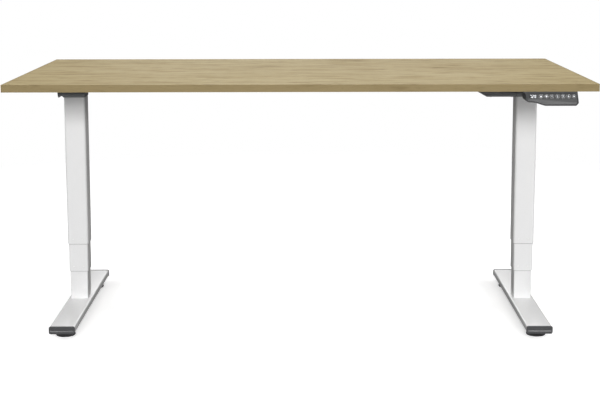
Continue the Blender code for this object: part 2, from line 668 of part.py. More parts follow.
def make_drive(top):
    """Gearmotor in its sloped housing beside the right column, and the shaft it turns."""
    gear_line = COLUMN_X - OUTER_WIDTH / 2
    end = gear_line - FIT_GAP
    start = end - MOTOR_HOUSING_LENGTH
    wall = MOTOR_HOUSING_WALL
    half = MOTOR_HOUSING_DEPTH / 2
    outline = (
        (start, HEAD_TOP),
        (start + MOTOR_HOUSING_SLOPE, OUTER_TOP),
        (end, OUTER_TOP),
        (end, HEAD_TOP),
    )
    slope = math.atan2(HEAD_TOP - OUTER_TOP, MOTOR_HOUSING_SLOPE)
    lean = MOTOR_HOUSING_SLOPE / (HEAD_TOP - OUTER_TOP)
    sloped_wall = wall / math.sin(slope)
    room_bottom = start + MOTOR_HOUSING_SLOPE + sloped_wall - wall * lean
    room = (
        (start + sloped_wall - CUT_OVER * lean, HEAD_TOP + CUT_OVER),
        (room_bottom, OUTER_TOP + wall),
        (end - wall, OUTER_TOP + wall),
        (end - wall, HEAD_TOP + CUT_OVER),
    )
    housing = plate("motor_housing", (outline,), -half, half, "XZ", "dark_steel", top)
    shaft_radius = SHAFT_FLATS / math.sqrt(3)
    cut(housing,
        plate("motor_room", (room,), wall - half, half - wall, "XZ", None, top),
        rod("motor_shaft_hole", shaft_radius + BORE_GAP, start, end + CUT_OVER, "X", parent=top,
            beside=(0.0, SHAFT_HEIGHT)))

    line = empty("drive_line", (0.0, 0.0, SHAFT_HEIGHT), top)
    motor_end = end - wall - MOTOR_FROM_ARM
    bore = shaft_radius + BORE_GAP
    neck = MOTOR_RADIUS * 0.7
    turned("gearmotor", (
        (bore, MOTOR_LENGTH),
        (neck, MOTOR_LENGTH),
        (neck, MOTOR_LENGTH * 0.93),
        (MOTOR_RADIUS, MOTOR_LENGTH * 0.90),
        (MOTOR_RADIUS, MOTOR_LENGTH * 0.04),
        (MOTOR_RADIUS * 0.93, 0.0),
        (bore, 0.0),
        (bore, MOTOR_LENGTH),
    ), "dark_steel", line, (motor_end - MOTOR_LENGTH, 0.0, 0.0), axis="X")
    shaft_end = COLUMN_X - GEAR_NEAR
    rod("drive_shaft", shaft_radius, -shaft_end, shaft_end, "X", 6, "bright_steel", line)


# Control box

def make_control_box(top):
    box = empty("control_box_place", (CONTROL_X, CONTROL_Y, STEEL_TOP), top)
    x, y = CONTROL_LENGTH / 2, CONTROL_DEPTH / 2
    rim = -CONTROL_LID - FIT_GAP
    tub = block("control_box", (-x, -y, rim - CONTROL_HEIGHT), (x, y, rim), "dark_plastic", box)
    round_edges(tub, 0.002)
    cut(tub, block("control_room", (CONTROL_WALL - x, CONTROL_WALL - y, rim - CONTROL_HEIGHT + CONTROL_WALL),
                   (x - CONTROL_WALL, y - CONTROL_WALL, rim + CUT_OVER), None, box))
    middle = rim - CONTROL_HEIGHT / 2
    for i in range(SOCKET_COUNT):
        across = (i - (SOCKET_COUNT - 1) / 2) * SOCKET_PITCH
        cut(tub, block(f"socket_{i}", (x - CONTROL_WALL - CUT_OVER, across - SOCKET_WIDTH / 2,
                                       middle - SOCKET_HEIGHT / 2),
                       (x + CUT_OVER, across + SOCKET_WIDTH / 2, middle + SOCKET_HEIGHT / 2), None, box))
    cut(tub, block("mains_inlet", (-x - CUT_OVER, -INLET_WIDTH / 2, middle - INLET_HEIGHT / 2),
                   (-x + CONTROL_WALL + CUT_OVER, INLET_WIDTH / 2, middle + INLET_HEIGHT / 2), None, box))
    ears = rounded_rectangle(CONTROL_LENGTH + 2 * CONTROL_EAR, CONTROL_DEPTH, 0.008)
    holes = [circle(0.0025, 12, (hand * (x + CONTROL_EAR / 2), place * y * 0.6))
             for hand in (-1, 1) for place in (-1, 1)]
    plate("control_box_lid", (ears, *holes), -CONTROL_LID, 0.0, "XY", "dark_plastic", box)


# Handset

def make_handset(top):
    left = TOP_LENGTH / 2 - HANDSET_END - HANDSET_WIDTH
    place = empty("handset_place", (left, HANDSET_SET_BACK - TOP_DEPTH / 2, STEEL_TOP), top)
    outside = [(x, -drop, radius) for x, drop, radius in (*HANDSET_SHOULDER, *HANDSET_OUTLINE)]
    corners = [(x, -drop, radius) for x, drop, radius in (HANDSET_FACE_START, *HANDSET_OUTLINE)]
    casing = plate("handset_casing", (rounded(outside),), 0.0, HANDSET_DEPTH, "XZ", "dark_plastic", place)
    room = rounded(inset(corners, HANDSET_RIM))
    cut(casing, plate("handset_room", (room,), -CUT_OVER, HANDSET_DEPTH - HANDSET_RIM, "XZ", None, place))

    panel_loop = rounded(inset(corners, HANDSET_RIM + FIT_GAP))
    window = [(DISPLAY_CENTRE + x, -KEY_DROP + z) for x, z in rounded_rectangle(
        DISPLAY_WIDTH + 2 * BORE_GAP, DISPLAY_HEIGHT + 2 * BORE_GAP, 0.0)]
    key_holes = [circle(KEY_RADIUS + BORE_GAP, 20, (x, -KEY_DROP)) for x in KEY_PLACES]
    plate("handset_panel", (panel_loop, window, *key_holes), PANEL_SET_BACK,
          PANEL_SET_BACK + HANDSET_PANEL, "XZ", "dark_plastic", place)
    half_width, half_height = DISPLAY_WIDTH / 2, DISPLAY_HEIGHT / 2
    block("handset_display", (DISPLAY_CENTRE - half_width, PANEL_SET_BACK, -KEY_DROP - half_height),
          (DISPLAY_CENTRE + half_width, PANEL_SET_BACK + DISPLAY_DEPTH, -KEY_DROP + half_height),
          "display", place)
    for key, x in zip(KEY_NAMES, KEY_PLACES):
        rod(f"key_{key}", KEY_RADIUS, 0.0, KEY_DEPTH, "Y", 20, "dark_plastic", place, (x, 0.0, -KEY_DROP))


# Feet

def make_foot(side, hand, base):
    foot_place = empty(f"foot_place_{hand}", (side * COLUMN_X, 0.0, 0.0), base)
    tube_half = FOOT_LENGTH / 2 - CAP_FACE - FIT_GAP
    middle = FOOT_CLEARANCE + FOOT_HEIGHT / 2

    def section(shrink, radius):
        outline = rounded_rectangle(FOOT_WIDTH - 2 * shrink, FOOT_HEIGHT - 2 * shrink, radius, 2)
        return [(x, middle + z) for x, z in outline]

    foot = plate(f"foot_{hand}", (section(0.0, FOOT_CORNER), section(FOOT_WALL, FOOT_CORNER - FOOT_WALL)),
                 -tube_half, tube_half, "XZ", "white_steel", foot_place)
    for place, way in (("front", -1), ("rear", 1)):
        axis = way * FOOT_HALF_PITCH
        cut(foot, rod(f"stud_hole_{place}_{hand}", GLIDE_STUD_RADIUS + BORE_GAP,
                      FOOT_CLEARANCE - CUT_OVER, FOOT_CLEARANCE + FOOT_WALL + CUT_OVER,
                      parent=foot_place, beside=(0.0, axis)))
        face = sorted((way * (FOOT_LENGTH / 2 - CAP_FACE), way * FOOT_LENGTH / 2))
        plug = sorted((way * (tube_half - CAP_PLUG), way * (FOOT_LENGTH / 2 - CAP_FACE / 2)))
        cap = plate(f"foot_cap_{place}_{hand}", (section(-CAP_PROUD, FOOT_CORNER + CAP_PROUD),),
                    *face, "XZ", "dark_plastic", foot_place)
        plug_section = section(FOOT_WALL + FIT_GAP, FOOT_CORNER - FOOT_WALL - FIT_GAP)
        join(cap, plate(f"cap_plug_{place}_{hand}", (plug_section,), *plug, "XZ", None, foot_place))
        glide = turned(f"levelling_glide_{place}_{hand}", (
            (0.0, FOOT_CLEARANCE + GLIDE_STUD_IN_FOOT),
            (GLIDE_STUD_RADIUS, FOOT_CLEARANCE + GLIDE_STUD_IN_FOOT),
            (GLIDE_STUD_RADIUS, GLIDE_PAD + GLIDE_NUT),
            (GLIDE_NUT_RADIUS, GLIDE_PAD + GLIDE_NUT),
            (GLIDE_NUT_RADIUS, GLIDE_PAD),
            (GLIDE_RADIUS * 0.85, GLIDE_PAD),
            (GLIDE_RADIUS, GLIDE_PAD * 0.6),
            (GLIDE_RADIUS, GLIDE_PAD * 0.15),
            (GLIDE_RADIUS * 0.96, 0.0),
            (0.0, 0.0),
        ), "rubber", foot_place, (0.0, axis, 0.0))
        shade_round(glide)


def make_desk():
    base = empty("base")
    top = empty("lifting_top")
    make_tabletop(top)
    for side, hand in ((-1, "left"), (1, "right")):
        make_foot(side, hand, base)
        make_column(side, hand, top, base)
    make_crossbars(top)
    make_drive(top)
    make_control_box(top)
    make_handset(top)


make_desk()
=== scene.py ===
"""Looks of an electric standing desk: oak decor top, white telescopic columns, anthracite frame and handset.

Metres, +Z up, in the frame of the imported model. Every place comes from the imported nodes' boxes.
"""

import math

import bmesh
import bpy
from mathutils import Matrix, Vector


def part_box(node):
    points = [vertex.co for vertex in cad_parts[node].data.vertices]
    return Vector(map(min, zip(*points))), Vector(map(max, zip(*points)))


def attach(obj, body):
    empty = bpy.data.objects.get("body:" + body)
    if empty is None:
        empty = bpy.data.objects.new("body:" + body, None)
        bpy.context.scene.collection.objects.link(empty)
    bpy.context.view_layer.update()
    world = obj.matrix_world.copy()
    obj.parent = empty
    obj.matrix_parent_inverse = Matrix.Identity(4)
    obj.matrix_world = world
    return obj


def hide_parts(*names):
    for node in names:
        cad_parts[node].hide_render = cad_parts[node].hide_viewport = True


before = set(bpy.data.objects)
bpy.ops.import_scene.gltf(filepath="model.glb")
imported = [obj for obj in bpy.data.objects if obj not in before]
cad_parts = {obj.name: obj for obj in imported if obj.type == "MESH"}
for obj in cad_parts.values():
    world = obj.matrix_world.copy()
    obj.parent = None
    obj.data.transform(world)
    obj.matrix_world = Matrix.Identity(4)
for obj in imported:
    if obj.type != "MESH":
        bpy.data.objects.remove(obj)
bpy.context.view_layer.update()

HANDS = ("left", "right")
SIDES = {"left": -1, "right": 1}
PLACES = {"front": -1, "rear": 1}
KEYS = ("up", "down", "one", "two", "three", "four", "memory")
LIFTED = "lifting_top"

# Sheet, tube and edge sizes
TUBE_WALL = 0.0015
TUBE_CORNERS = {"outer": 0.0075, "middle": 0.0050, "inner": 0.0025}
TUBE_END_EDGE = 0.0004
FOOT_WALL = 0.002
FOOT_CORNER = 0.004
SHEET_WALL = 0.0025
SHEET_BEND = 0.004
BAR_WALL = 0.002
BAR_BEND = 0.0035
TOP_EDGE = 0.0008
EDGE_BAND = 0.0015
STUD_RISE = 0.014
STUD_ACROSS = 0.0145
STUD_HOLE = 0.0026
STUD_RADIUS = 0.0023
WIPER_PLAY = 0.00015
WIPER_DROP = 0.0012
CUT_OVER = 0.002
GAP = 0.0003
JOINED = 1e-6
SHARP_EDGE = math.radians(30)

# Studio
WHITE = (1.0, 1.0, 1.0, 1.0)
FLOOR_SEEN = (0.97, 0.97, 0.97, 1.0)
FLOOR_BOUNCE = (0.23, 0.23, 0.23, 1.0)
FLOOR_LIFT = 0.50
FLOOR_FADE = (1.6, 3.0)
AMBIENT = 0.30
AMBIENT_GLOSS = 0.65


# ------ node graphs

def shader_node(tree, kind, values=None, **settings):
    """Adds a node, sets its options, and links or sets its inputs."""
    made = tree.nodes.new("ShaderNode" + kind)
    for option, value in settings.items():
        setattr(made, option, value)
    for socket, value in (values or {}).items():
        if isinstance(value, bpy.types.NodeSocket):
            tree.links.new(value, made.inputs[socket])
        else:
            made.inputs[socket].default_value = value
    return made


def maths(tree, operation, first, second=0.0, third=0.0):
    values = {0: first, 1: second, 2: third}
    return shader_node(tree, "Math", values, operation=operation).outputs[0]


def times(tree, first, second):
    return maths(tree, "MULTIPLY", first, second)


def blend_colours(tree, share, first, second, how="MIX"):
    values = {0: share, 6: first, 7: second}
    return shader_node(tree, "Mix", values, data_type="RGBA", blend_type=how).outputs[2]


def tinted(tree, colour, shade):
    return blend_colours(tree, 1.0, (*colour, 1), shade, "MULTIPLY")


def rescale(tree, value, low, high, to_low=0.0, to_high=1.0):
    values = {0: value, 1: low, 2: high, 3: to_low, 4: to_high}
    return shader_node(tree, "MapRange", values, clamp=True).outputs[0]


def about_middle(tree, value, swing, base):
    """A value's swing about one half, laid over a base value."""
    return maths(tree, "MULTIPLY_ADD", maths(tree, "SUBTRACT", value, 0.5), swing, base)


def noise(tree, vector, scale, detail=2.0, roughness=0.5, distortion=0.0):
    values = {"Vector": vector, "Scale": scale, "Detail": detail, "Roughness": roughness,
              "Distortion": distortion}
    return shader_node(tree, "TexNoise", values).outputs[0]


def streaks(tree, vector, along, across, detail, roughness, distortion=0.0, shift=(0.0, 0.0, 0.0)):
    """Noise drawn out along X, with so many waves to the metre along the grain and across it."""
    values = {"Vector": vector, "Location": shift, "Scale": (along, across, across)}
    drawn_out = shader_node(tree, "Mapping", values).outputs[0]
    return noise(tree, drawn_out, 1.0, detail, roughness, distortion)


def vector_maths(tree, operation, first, second, output=0):
    return shader_node(tree, "VectorMath", {0: first, 1: second}, operation=operation).outputs[output]


def object_place(tree):
    return shader_node(tree, "TexCoord").outputs["Object"]


def new_group(name, inputs, outputs):
    """A shader node group with its own sockets, given as (name, type, default)."""
    group = bpy.data.node_groups.new(name, "ShaderNodeTree")
    for socket, kind, default in inputs:
        made = group.interface.new_socket(socket, in_out="INPUT", socket_type="NodeSocket" + kind)
        made.default_value = default
    for socket, kind in outputs:
        group.interface.new_socket(socket, in_out="OUTPUT", socket_type="NodeSocket" + kind)
    inside = group.nodes.new("NodeGroupInput")
    outside = group.nodes.new("NodeGroupOutput")
    return group, inside.outputs, outside.inputs


def make_oak_grain():
    """Oak decor: soft boards of tone, wavy year lines, fine fibres, dark pores and small knots along X."""
    group, given, made = new_group(
        "oak_grain",
        [("Light", "Color", (0.5, 0.4, 0.25, 1)), ("Deep", "Color", (0.3, 0.2, 0.1, 1)),
         ("Pore", "Color", (0.15, 0.1, 0.05, 1)), ("Contrast", "Float", 1.0)],
        [("Colour", "Color"), ("Height", "Float"), ("Sheen", "Float")])
    place = object_place(group)
    wander = times(group, streaks(group, place, 1.1, 3.0, 3.0, 0.55), 0.085)
    lift = shader_node(group, "CombineXYZ", {1: wander}).outputs[0]
    swayed = vector_maths(group, "ADD", place, lift)

    tone = streaks(group, swayed, 1.3, 5.5, 3.0, 0.6, shift=(3.1, 0.7, 0.0))
    smears = streaks(group, swayed, 7.0, 26.0, 4.0, 0.66, 0.3, (0.4, 1.9, 0.0))
    years = streaks(group, swayed, 3.2, 62.0, 4.0, 0.65, 0.35)
    fibres = streaks(group, swayed, 9.0, 330.0, 3.0, 0.6)
    pores = streaks(group, swayed, 26.0, 760.0, 1.0, 0.5)
    knots = streaks(group, swayed, 9.0, 34.0, 2.5, 0.55, 0.6, (1.7, 4.2, 0.0))
    dashes = streaks(group, swayed, 14.0, 80.0, 2.0, 0.5, 0.2, (0.0, 2.0, 0.0))

    broad = rescale(group, tone, 0.36, 0.64)
    brown = rescale(group, smears, 0.48, 0.66)
    lines = rescale(group, years, 0.36, 0.64)
    hair = rescale(group, fibres, 0.30, 0.70)
    mixed = 0.0
    for layer, share in ((hair, 0.26), (lines, 0.22), (broad, 0.20), (brown, 0.46)):
        mixed = maths(group, "MULTIPLY_ADD", layer, share, mixed)
    body = blend_colours(group, times(group, mixed, given["Contrast"]), given["Light"], given["Deep"])

    in_streak = rescale(group, smears, 0.42, 0.60)
    pore_mask = times(group, rescale(group, pores, 0.60, 0.72), 0.55)
    dash_mask = times(group, times(group, rescale(group, dashes, 0.58, 0.72), in_streak), 0.6)
    knot_mask = times(group, rescale(group, knots, 0.68, 0.78), 0.60)
    marks = maths(group, "MAXIMUM", pore_mask, maths(group, "MAXIMUM", dash_mask, knot_mask))
    marks = times(group, marks, given["Contrast"])
    relief = maths(group, "SUBTRACT", times(group, hair, 0.35), marks)
    group.links.new(blend_colours(group, marks, body, given["Pore"]), made["Colour"])
    group.links.new(relief, made["Height"])
    group.links.new(rescale(group, mixed, 0.2, 0.8, 0.58, 0.70), made["Sheen"])
    return group


def make_fine_skin():
    """The grain of a powder coat or of a spark-eroded mould: close bumps over a slow drift of gloss."""
    group, given, made = new_group(
        "fine_skin",
        [("Grain", "Float", 900.0), ("Gloss", "Float", 0.4), ("Drift", "Float", 0.05)],
        [("Height", "Float"), ("Roughness", "Float"), ("Shade", "Float")])
    place = object_place(group)
    close = noise(group, place, given["Grain"], 2.0, 0.6)
    cells = shader_node(group, "TexVoronoi", {"Vector": place, "Scale": given["Grain"]}).outputs["Distance"]
    slow = noise(group, place, 7.0, 3.0, 0.6)
    smudge = noise(group, place, 42.0)
    wander = maths(group, "SUBTRACT", maths(group, "ADD", slow, smudge), 1.0)
    drifted = maths(group, "MULTIPLY_ADD", wander, given["Drift"], given["Gloss"])
    speckle = about_middle(group, close, 0.16, 1.0)
    group.links.new(maths(group, "MULTIPLY_ADD", cells, 0.6, close), made["Height"])
    group.links.new(about_middle(group, close, 0.10, drifted), made["Roughness"])
    group.links.new(about_middle(group, slow, 0.06, speckle), made["Shade"])
    return group


def make_edge_highlight():
    """A mask along convex edges, broken up, for a painted highlight that lightens the edges of a finish."""
    group, given, made = new_group(
        "edge_highlight", [("Reach", "Float", 0.001), ("Amount", "Float", 0.5)], [("Mask", "Float")])
    plain = shader_node(group, "NewGeometry").outputs["Normal"]
    round_off = shader_node(group, "Bevel", {"Radius": given["Reach"]}, samples=4).outputs[0]
    edge = rescale(group, vector_maths(group, "DOT_PRODUCT", plain, round_off, "Value"), 0.99, 0.80)
    broken = rescale(group, noise(group, object_place(group), 160.0, 3.0, 0.65), 0.38, 0.62)
    share = maths(group, "MULTIPLY_ADD", broken, 0.75, 0.25)
    group.links.new(times(group, times(group, edge, share), given["Amount"]), made["Mask"])
    return group


def make_tool_marks():
    """Fine parallel marks of turning or grinding across a chosen direction."""
    group, given, made = new_group(
        "tool_marks", [("Scale", "Vector", (1.0, 1.0, 1.0)), ("Gloss", "Float", 0.3)],
        [("Height", "Float"), ("Roughness", "Float"), ("Shade", "Float")])
    place = object_place(group)
    marks = noise(group, vector_maths(group, "MULTIPLY", place, given["Scale"]), 1.0, 3.0, 0.65)
    stains = noise(group, place, 60.0, 3.0, 0.6)
    group.links.new(marks, made["Height"])
    group.links.new(about_middle(group, marks, 0.25, given["Gloss"]), made["Roughness"])
    group.links.new(rescale(group, stains, 0.3, 0.7, 0.84, 1.04), made["Shade"])
    return group


OAK_GRAIN = make_oak_grain()
FINE_SKIN = make_fine_skin()
# Every coat gets lighter convex edges from this mask: a painted edge highlight.
EDGE_HIGHLIGHT = make_edge_highlight()
TOOL_MARKS = make_tool_marks()


# ------ finishes

OAK_RELIEF = {"Strength": 0.30, "Distance": 0.00012}
SKIN_DEPTH = 0.00006
MARK_DEPTH = 0.00003


def new_finish(name, slot, **sockets):
    """A material with its shader; sockets that are the same all over are set here."""
    finish = bpy.data.materials.new(name)
    finish.use_nodes = True
    shader = finish.node_tree.nodes["Principled BSDF"]
    for socket, value in sockets.items():
        shader.inputs[socket.replace("_", " ")].default_value = value
    return finish, finish.node_tree, shader


def place_group(tree, group, **values):
    made = tree.nodes.new("ShaderNodeGroup")
    made.node_tree = group
    for socket, value in values.items():
        made.inputs[socket].default_value = value
    return made.outputs


def link_surface(tree, shader, colour, roughness, height, relief):
    """Feeds a shader its colour and roughness, and its height through a bump."""
    tree.links.new(colour, shader.inputs["Base Color"])
    tree.links.new(roughness, shader.inputs["Roughness"])
    normal = shader_node(tree, "Bump", {"Height": height, **relief}).outputs[0]
    tree.links.new(normal, shader.inputs["Normal"])


def make_oak(name, slot, light, deep, pore, contrast):
    finish, tree, shader = new_finish(name, slot, Specular_IOR_Level=0.05)
    colours = {"Light": (*light, 1), "Deep": (*deep, 1), "Pore": (*pore, 1)}
    grain = place_group(tree, OAK_GRAIN, Contrast=contrast, **colours)
    link_surface(tree, shader, grain["Colour"], grain["Sheen"], grain["Height"], OAK_RELIEF)
    return finish


def make_coated(name, slot, colour, edge_light, gloss, grain, relief, reach, highlight_amount, **sockets):
    """Powder coat or moulded plastic: a fine skin whose convex edges are lightened by a painted highlight."""
    finish, tree, shader = new_finish(name, slot, **sockets)
    skin = place_group(tree, FINE_SKIN, Grain=grain, Gloss=gloss, Drift=0.06)
    edges = place_group(tree, EDGE_HIGHLIGHT, Reach=reach, Amount=highlight_amount)
    surface = blend_colours(tree, edges["Mask"], tinted(tree, colour, skin["Shade"]), (*edge_light, 1))
    bumps = {"Strength": relief, "Distance": SKIN_DEPTH}
    link_surface(tree, shader, surface, skin["Roughness"], skin["Height"], bumps)
    return finish


def make_machined(name, slot, colour, gloss, scale, relief=0.4):
    """Bare metal with the marks of its machining."""
    finish, tree, shader = new_finish(name, slot, Metallic=1.0)
    marks = place_group(tree, TOOL_MARKS, Scale=scale, Gloss=gloss)
    surface = tinted(tree, colour, marks["Shade"])
    scores = {"Strength": relief, "Distance": MARK_DEPTH}
    link_surface(tree, shader, surface, marks["Roughness"], marks["Height"], scores)
    return finish


def make_lit_digits():
    """White segments that glow, a little uneven from one to the next."""
    finish, tree, shader = new_finish("lit_digits", "display", Roughness=0.35, Emission_Strength=0.42)
    glow = rescale(tree, noise(tree, object_place(tree), 320.0), 0.3, 0.7, 0.80, 1.0)
    colour = tinted(tree, (0.95, 0.97, 1.0), glow)
    tree.links.new(colour, shader.inputs["Emission Color"])
    tree.links.new(colour, shader.inputs["Base Color"])
    return finish


OAK = make_oak("oak_decor_top", "oak_board", light=(0.428, 0.351, 0.188), deep=(0.268, 0.201, 0.096),
               pore=(0.130, 0.088, 0.040), contrast=1.0)
# The edge band's decor is a darker copy of the top's: painted shade on the front edge.
OAK_EDGE_SHADED = make_oak("oak_decor_edge_painted_shade", "oak_edge", light=(0.283, 0.223, 0.116), deep=(0.200, 0.149, 0.073),
                    pore=(0.130, 0.092, 0.042), contrast=0.5)
# name, slot, colour, painted edge highlight colour, then gloss, grain, relief, reach and amount of the
# painted edge highlight
WHITE_COAT = make_coated(
    "white_powder_coat", "white_steel", (0.84, 0.84, 0.842), (0.92, 0.92, 0.92),
    0.20, 760.0, 0.05, 0.0008, 0.35)
WHITE_MOULDED = make_coated(
    "white_moulded", "white_plastic", (0.90, 0.90, 0.895), (0.93, 0.93, 0.92),
    0.42, 1500.0, 0.10, 0.0004, 0.2)
DARK_COAT = make_coated(
    "anthracite_powder_coat", "dark_steel", (0.058, 0.059, 0.063), (0.13, 0.13, 0.135),
    0.42, 900.0, 0.30, 0.0009, 0.5)
DARK_MOULDED = make_coated(
    "anthracite_moulded", "dark_plastic", (0.072, 0.073, 0.076), (0.16, 0.16, 0.165),
    0.46, 1700.0, 0.22, 0.0006, 0.45)
# The handset shell is darker than its panel to paint the shade on its rim.
SHELL_PAINTED_SHADE = make_coated(
    "handset_shell_painted_shade", "dark_plastic", (0.020, 0.021, 0.022), (0.050, 0.050, 0.053),
    0.44, 1700.0, 0.18, 0.0006, 0.35)
# The casting's colour is lightened to paint the light its front catches; the upper band's copy is darker to
# paint the shade under the top.
CAST_PAINTED_LIGHT = make_coated(
    "anthracite_casting", "dark_steel", (0.230, 0.233, 0.240), (0.32, 0.32, 0.33),
    0.40, 520.0, 0.45, 0.0012, 0.5)
CAST_PAINTED_SHADE = make_coated(
    "anthracite_casting_painted_shade", "dark_steel", (0.125, 0.127, 0.132), (0.12, 0.12, 0.125),
    0.45, 520.0, 0.45, 0.0012, 0.4)
BLACK_RUBBER = make_coated(
    "black_rubber", "rubber", (0.040, 0.040, 0.041), (0.075, 0.074, 0.072),
    0.72, 1300.0, 0.35, 0.0010, 0.4)
CAP_PLASTIC = make_coated(
    "foot_cap_plastic", "dark_plastic", (0.074, 0.075, 0.078), (0.15, 0.15, 0.155),
    0.27, 1700.0, 0.10, 0.0006, 0.45)
# The wiper's grey paints the shade in the gap between the tubes.
WIPER_GAP_SHADE = make_coated(
    "wiper_painted_gap_shade", "white_plastic", (0.20, 0.20, 0.20), (0.28, 0.28, 0.28),
    0.60, 1500.0, 0.20, 0.0004, 0.2)
PANEL_FILM = make_coated(
    "keypad_film", "dark_plastic", (0.044, 0.045, 0.046), (0.10, 0.10, 0.105),
    0.46, 1500.0, 0.30, 0.0006, 0.45)
# The printed marks also emit a little light: a painted glow on print that is no lamp.
GLOWING_KEY_PRINT = make_coated(
    "key_print_painted_glow", "display", (0.86, 0.87, 0.88), (0.86, 0.87, 0.88),
    0.40, 2500.0, 0.05, 0.0001, 0.0,
    Emission_Color=(0.9, 0.95, 1.0, 1.0), Emission_Strength=0.22)
RING_PRINT = make_coated(
    "key_ring_print", "display", (0.55, 0.555, 0.56), (0.55, 0.555, 0.56),
    0.40, 2500.0, 0.05, 0.0001, 0.0)
SMOKED = make_coated(
    "smoked_window", "display", (0.036, 0.037, 0.039), (0.05, 0.05, 0.05),
    0.12, 300.0, 0.02, 0.0003, 0.2, Coat_Weight=0.6)
LIT_DIGITS = make_lit_digits()
GROUND_STEEL = make_machined("ground_steel", "bright_steel", (0.60, 0.60, 0.61), 0.30, (260.0, 260.0, 2200.0))
ZINC_STEEL = make_machined("zinc_plated_steel", "bright_steel", (0.56, 0.57, 0.60), 0.34,
                           (900.0, 900.0, 900.0), 0.3)
SHAFT_STEEL = make_machined("drawn_steel", "bright_steel", (0.52, 0.52, 0.53), 0.32, (40.0, 2400.0, 2400.0))
GEAR_BRASS = make_machined("machined_brass", "gear_brass", (0.70, 0.52, 0.25), 0.33, (1500.0, 1500.0, 300.0))


# ------ shapes

PLANES = {
    "XY": Matrix.Identity(4),
    "XZ": Matrix(((1, 0, 0, 0), (0, 0, -1, 0), (0, 1, 0, 0), (0, 0, 0, 1))),
    "YZ": Matrix(((0, 0, 1, 0), (1, 0, 0, 0), (0, 1, 0, 0), (0, 0, 0, 1))),
}


def rounded(points, steps=6):
    """A closed outline whose corners, given as (x, y, radius), are arcs of `steps` chords."""
    outline = []
    count = len(points)
    for i, (x, y, radius) in enumerate(points):
        corner = Vector((x, y))
        before = (Vector(points[i - 1][:2]) - corner).normalized()
        after = (Vector(points[(i + 1) % count][:2]) - corner).normalized()
        if radius <= 0:
            outline.append((x, y))
            continue
        half = before.angle(after) / 2
        centre = corner + (before + after).normalized() * (radius / math.sin(half))
        first = corner + before * (radius / math.tan(half)) - centre
        last = corner + after * (radius / math.tan(half)) - centre
        sweep = first.angle_signed(last)
        for step in range(steps + 1):
            outline.append(tuple(centre + Matrix.Rotation(-sweep * step / steps, 2) @ first))
    return outline


def box_outline(low, high, radius=0.0, steps=6):
    corners = ((low[0], low[1]), (high[0], low[1]), (high[0], high[1]), (low[0], high[1]))
    return rounded([(x, y, radius) for x, y in corners], steps)


def centred_outline(x, y, half_x, half_y, radius, steps=4):
    return box_outline((x - half_x, y - half_y), (x + half_x, y + half_y), radius, steps)


def wall_outlines(low, high, corner, wall, least_corner=0.0005, steps=8):
    """The outer and the inner outline of a square tube."""
    outside = box_outline(low, high, corner, steps)
    inner_low, inner_high = (low[0] + wall, low[1] + wall), (high[0] - wall, high[1] - wall)
    return outside, box_outline(inner_low, inner_high, max(corner - wall, least_corner), steps)


def ring_outline(radius, centre=(0.0, 0.0), count=32):
    turns = [2 * math.pi * i / count for i in range(count)]
    return [(centre[0] + radius * math.cos(t), centre[1] + radius * math.sin(t)) for t in turns]


def inset(points, distance, least_radius=0.0003):
    """The same corners moved inwards, each side by `distance`, for a counterclockwise outline."""
    moved = []
    for i, (x, y, radius) in enumerate(points):
        corner = Vector((x, y))
        before = (corner - Vector(points[i - 1][:2])).normalized()
        after = (Vector(points[(i + 1) % len(points)][:2]) - corner).normalized()
        normal_before, normal_after = Vector((-before.y, before.x)), Vector((-after.y, after.x))
        mean = (normal_before + normal_after).normalized()
        spot = corner + mean * (distance / mean.dot(normal_after))
        bends_out = normal_before.dot(after) > 0
        change = -distance if bends_out else distance
        moved.append((spot.x, spot.y, max(radius + change, least_radius) if radius > 0 else 0.0))
    return moved


def new_object(name, data):
    thing = bpy.data.objects.new(name, data)
    bpy.context.scene.collection.objects.link(thing)
    return thing


def placed_mesh(name, form):
    mesh = bpy.data.meshes.new(name)
    form.to_mesh(mesh)
    form.free()
    return new_object(name, mesh)


def mesh_object(name, form):
    bmesh.ops.recalc_face_normals(form, faces=form.faces)
    return placed_mesh(name, form)


def evaluated_mesh(thing):
    bpy.context.view_layer.update()
    return bpy.data.meshes.new_from_object(thing.evaluated_get(bpy.context.evaluated_depsgraph_get()))


def prism(name, loops, low, high, plane="XY"):
    """A flat outline with holes, extruded between two places on its normal."""
    curve = bpy.data.curves.new(name, "CURVE")
    curve.dimensions = "2D"
    curve.fill_mode = "BOTH"
    curve.extrude = (high - low) / 2
    for loop in loops:
        spline = curve.splines.new("POLY")
        spline.points.add(len(loop) - 1)
        for point, (x, y) in zip(spline.points, loop):
            point.co = (x, y, 0.0, 1.0)
        spline.use_cyclic_u = True
    guide = new_object(name + "_outline", curve)
    form = bmesh.new()
    form.from_mesh(evaluated_mesh(guide))
    bpy.data.objects.remove(guide)
    bmesh.ops.remove_doubles(form, verts=form.verts, dist=JOINED)
    middle = (low + high) / 2
    along = Matrix.Translation((0.0, 0.0, -middle if plane == "XZ" else middle))
    bmesh.ops.transform(form, matrix=PLANES[plane] @ along, verts=form.verts)
    return mesh_object(name, form)


def brick(name, low, high):
    """A box between two corners, for cutting or for bevelling."""
    form = bmesh.new()
    low, high = Vector(low), Vector(high)
    size = Matrix.Diagonal((*(high - low), 1.0))
    bmesh.ops.create_cube(form, size=1.0, matrix=Matrix.Translation((low + high) / 2) @ size)
    return mesh_object(name, form)


